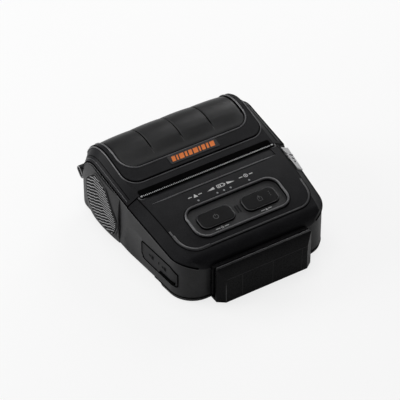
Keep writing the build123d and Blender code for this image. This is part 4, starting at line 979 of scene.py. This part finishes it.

# Details of the socket cover: painted shade in the gap round it, a painted shadow line under the thumb pull and plain
# strokes as signs, in y and z
socketCover = {"outline": [(-11.2, 20.2), (-37.2, 20.2), (-42.2, 17.2), (-42.2, 8.5), (-13.4, 9.0), (-11.2, 11.8)],
               "corner": 1.0, "gap": 0.36, "gapOut": 0.02, "pull": (-28.0, -40.5), "pullZ": 10.2, "pullOut": 0.1,
               "pullThick": 0.75, "pullParts": 24, "signLift": 0.07,
               "signs": ((-21.55, 15.1, 0.5, 2.6), (-20.55, 15.1, 0.5, 2.6), (-19.15, 15.2, 0.5, 1.2),
                         (-18.15, 15.2, 0.5, 1.2), (-26.9, 15.4, 0.6, 1.6), (-32.95, 15.0, 0.5, 2.4),
                         (-31.95, 15.0, 0.5, 2.4), (-30.75, 15.05, 0.5, 1.3), (-29.95, 15.05, 0.5, 1.3))}
portCover, lowerCasing = bodyOf("port_cover"), bodyOf("lower_casing")
edge = [(-flankX(p.x) - socketCover["gapOut"], p.x, p.y)
        for p in roundPath(socketCover["outline"], socketCover["corner"], True)]
bead("socket_cover_gap", edge, socketCover["gap"], shadeAndSignBlack, lowerCasing, True)
parts = socketCover["pullParts"]
pull = [(-flankX(y) - socketCover["pullOut"], y, socketCover["pullZ"]) for y in spaced(*socketCover["pull"], parts)]
bead("socket_cover_pull_shadow", pull, socketCover["pullThick"], shadeAndSignBlack, portCover)
laidSkin("socket_signs", [boxCorners(*sign) for sign in socketCover["signs"]],
         lambda y, z: dropOn("port_cover", (-besideAll, y, z), (1, 0, 0), socketCover["signLift"]), shadeAndSignBlack,
         portCover)

# Base skirt under the parting line of the casing: inset and height down its profile, fading out at the rear
skirt = {"profile": ((0.35, 2.5), (0.15, 2.1), (0.25, 0.7), (0.6, 0.2), (1.6, 0.02), (6.0, 0.02)), "ends": -20.0,
         "fade": 9.0, "fadeIn": 2.6, "lineZ": 2.5, "lineIn": 0.9985, "lineThick": 0.22,
         "lineEnd": 10}
plan = [p for p in planRight if p.y < skirt["ends"]]
plan = [Vector((-p.x, p.y)) for p in plan[::-1]] + plan[1:]
verts = []
for before, point, after in zip(plan[:1] + plan, plan, plan[1:] + plan[-1:]):
    along = (after - before).normalized()
    inward = Vector((-along.y, along.x))
    fade = skirt["fadeIn"] * max(0.0, 1 - (skirt["ends"] - point.y) / skirt["fade"])
    for inset, z in skirt["profile"]:
        verts.append(Vector((*(point + inward * (inset + fade)), z)))
newPiece("base_skirt", outwardSkin("base_skirt", verts, gridFaces(len(plan), len(skirt["profile"]))), greyCasingAndPaintedLight,
         lowerCasing)
# a dark line of painted shade along the parting line
run = [(*(p * skirt["lineIn"]), skirt["lineZ"]) for p in plan[skirt["lineEnd"]:-skirt["lineEnd"]]]
bead("base_line", run, skirt["lineThick"], shadeAndSignBlack, lowerCasing)

# Painted highlight ring at the mouth of each strap lug, set upright at a slant
lug = {"middle": (56.8, 19.6), "size": (7.6, 3.9), "corner": 1.9, "share": (0.9, 0.82), "mouth": 48.05, "tilt": 45.0,
       "thick": 0.35}
tilt = Matrix.Rotation(math.radians(lug["tilt"]), 2)
for side, label in sides:
    ringPath = []
    for p in roundPath(boxCorners(0, 0, *lug["size"]), lug["corner"], True, step=0.3):
        spot = tilt @ Vector((p.x * lug["share"][0], p.y * lug["share"][1])) + Vector(lug["middle"])
        ringPath.append(Vector((side * lug["mouth"], *spot)))
    bead("lug_highlight_ring_" + label, ringPath, lug["thick"], ribGreyAndLugHighlight, bodyOf("strap_lug_" + label), True)

# Card reader: painted highlights on the lit edges of its cover, and witness lines; each run is a list of points on
# one side
reader = {"top": [(x, -54.35, 23.45) for x in (-29.3, -10, 10, 29.3)], "topThick": 0.3,
          "front": [(x, -58.5, 16.7) for x in (-25.6, -10, 10, 25.6)], "frontThick": 0.24,
          "corner": [(29.6, -54.5, 23.2), (25.75, -58.4, 16.8), (25.75, -58.5, 9), (25.75, -58.5, 1.3)],
          "cornerThick": 0.26, "lines": (-15.6, 3.6, 22.2), "lineY": -58.66, "lineZ": (1.4, 6, 11, 16.2),
          "lineThick": 0.13}
readerBody = bodyOf("reader_cover")
bead("reader_rim_top", reader["top"], reader["topThick"], highlightRim, readerBody)
bead("reader_rim_front", reader["front"], reader["frontThick"], greyCasingAndPaintedLight, readerBody)
for side, label in sides:
    bead("reader_corner_" + label, [(side * x, y, z) for x, y, z in reader["corner"]], reader["cornerThick"], softHighlightRim,
         readerBody)
for index, x in enumerate(reader["lines"]):
    bead(f"reader_line_{index}", [(x, reader["lineY"], z) for z in reader["lineZ"]], reader["lineThick"], greyCasingAndPaintedLight,
         readerBody)

# Thumb cuts over the lever as dark beads of painted shade, and the bright pins at the ends of the slot
lever = {"cuts": (-12.3, -9.7, -7.1), "axis": (47.5, 33.0), "reach": 30.0, "from": 0.1, "to": 1.4, "lift": -0.1,
         "thick": 0.42, "parts": 14}
slotPin = {"y": 1.15, "run": ((41.0, 38.45), (41.5, 38.5), (41.9, 38.45)), "thick": 0.5}
axisX, axisZ = lever["axis"]
for index, y in enumerate(lever["cuts"]):
    points = []
    for turn in spaced(lever["from"], lever["to"], lever["parts"]):
        across, up = math.sin(turn), math.cos(turn)
        start = (axisX + lever["reach"] * across, y, axisZ + lever["reach"] * up)
        points.append(dropOn("release_lever", start, (-across, 0, -up), lever["lift"]))
    bead(f"lever_cut_{index}", [point for point in points if point], lever["thick"], shadeAndSignBlack,
         bodyOf("release_lever"))
for side, label in sides:
    bead("slot_pin_" + label, [(side * x, slotPin["y"], z) for x, z in slotPin["run"]], slotPin["thick"], steelCut,
         casing)
print("small details made")

# Camera, at the angle and distance of the photograph, whose frame is 400 by 400 pixels
camera = {"azimuth": -31.921, "elevation": 40.221, "roll": 0.099, "distance": 1334.65, "focalPixels": 2418.4,
          "framePixels": 400, "centrePixel": (206.874, 229.41), "target": (0.0, 1.75, -4.0), "sensor": 36.0}
turn, lift, roll = (math.radians(camera[key]) for key in ("azimuth", "elevation", "roll"))
turned = (Matrix.Rotation(turn, 4, "Z") @ Matrix.Rotation(math.pi / 2 - lift, 4, "X")
          @ Matrix.Rotation(-roll, 4, "Z"))
pixel = camera["distance"] / camera["focalPixels"]
shiftX, shiftY = ((value - camera["framePixels"] / 2) * pixel for value in camera["centrePixel"])
lens = bpy.data.cameras.new("studio_camera")
lens.sensor_width = camera["sensor"]
lens.lens = camera["focalPixels"] / camera["framePixels"] * camera["sensor"]
eyePiece = bpy.data.objects.new("studio_camera", lens)
eyePiece.matrix_world = (Matrix.Translation(Vector(camera["target"]) * mm) @ turned
                         @ Matrix.Translation(Vector((-shiftX, shiftY, camera["distance"])) * mm))
scene.collection.objects.link(eyePiece)
scene.camera = eyePiece

# Pale floor, which the camera sees nearly white with the object's shadow on it; mirrored it is much dimmer
studio = {"floorColour": "#f2f2f2", "floorRoughness": 0.9, "floorHalf": 3.0, "floorDrop": 0.3, "floorGlow": 0.8,
          "mirrored": 0.16, "worldDim": 0.15, "aim": (0, 0, 20)}
white = (1, 1, 1, 1)
floorMaterial, tree = newMaterial("paper_backdrop_white")
paper = addNode(tree, "ShaderNodeBsdfPrincipled", {}, {"Base Color": linearColour(studio["floorColour"]),
                                                       "Roughness": studio["floorRoughness"]})
path = addNode(tree, "ShaderNodeLightPath")
mirrored = addNode(tree, "ShaderNodeMath", {"operation": "MULTIPLY"},
                   {0: path.outputs["Is Glossy Ray"], 1: studio["mirrored"]})
seen = addNode(tree, "ShaderNodeMath", {"operation": "MAXIMUM"},
               {0: path.outputs["Is Camera Ray"], 1: mirrored.outputs["Value"]})
part = addNode(tree, "ShaderNodeMath", {"operation": "MULTIPLY"}, {0: seen.outputs["Value"], 1: studio["floorGlow"]})
glow = addNode(tree, "ShaderNodeEmission", {}, {"Color": white, "Strength": 1.0})
blend = addNode(tree, "ShaderNodeMixShader", {}, {0: part.outputs["Value"], 1: paper.outputs["BSDF"],
                                                  2: glow.outputs["Emission"]})
addNode(tree, "ShaderNodeOutputMaterial", {}, {"Surface": blend.outputs["Shader"]})
floorMesh = bpy.data.meshes.new("floor")
floorMesh.from_pydata([(x * studio["floorHalf"], y * studio["floorHalf"], 0)
                       for x, y in ((-1, -1), (1, -1), (1, 1), (-1, 1))], [], [(0, 1, 2, 3)])
floorMesh.materials.append(floorMaterial)
floor = bpy.data.objects.new("floor", floorMesh)
floor.location = (0, 0, -studio["floorDrop"] * mm)
scene.collection.objects.link(floor)

# World: white to the camera, dim as light
world = bpy.data.worlds.new("studio")
scene.world = world
world.use_nodes = True
sky = world.node_tree
sky.nodes.clear()
path = addNode(sky, "ShaderNodeLightPath")
seen = addNode(sky, "ShaderNodeMath", {"operation": "MAXIMUM"},
               {0: path.outputs["Is Camera Ray"], 1: path.outputs["Is Transmission Ray"]})
dim = addNode(sky, "ShaderNodeBackground", {}, {"Color": white, "Strength": studio["worldDim"]})
bright = addNode(sky, "ShaderNodeBackground", {}, {"Color": white, "Strength": 1.0})
blend = addNode(sky, "ShaderNodeMixShader", {}, {0: seen.outputs["Value"], 1: dim.outputs["Background"],
                                                 2: bright.outputs["Background"]})
addNode(sky, "ShaderNodeOutputWorld", {}, {"Surface": blend.outputs["Shader"]})

# Soft boxes: place and size in millimetres, power in watts
softBoxes = {"left_rear_box": {"at": (-560, 430, 300), "size": 400, "power": 3.4},
             "right_rear_box": {"at": (520, 420, 420), "size": 380, "power": 2.2},
             "top_box": {"at": (-60, 160, 900), "size": 520, "power": 2.6}}
for name, box in softBoxes.items():
    lamp = bpy.data.lights.new(name, "AREA")
    lamp.size = box["size"] * mm
    lamp.energy = box["power"]
    holder = bpy.data.objects.new(name, lamp)
    holder.location = Vector(box["at"]) * mm
    holder.rotation_mode = "QUATERNION"
    holder.rotation_quaternion = (Vector(studio["aim"]) - Vector(box["at"])).to_track_quat("-Z", "Y")
    scene.collection.objects.link(holder)
scene.view_settings.view_transform = "Standard"
print("studio set up")
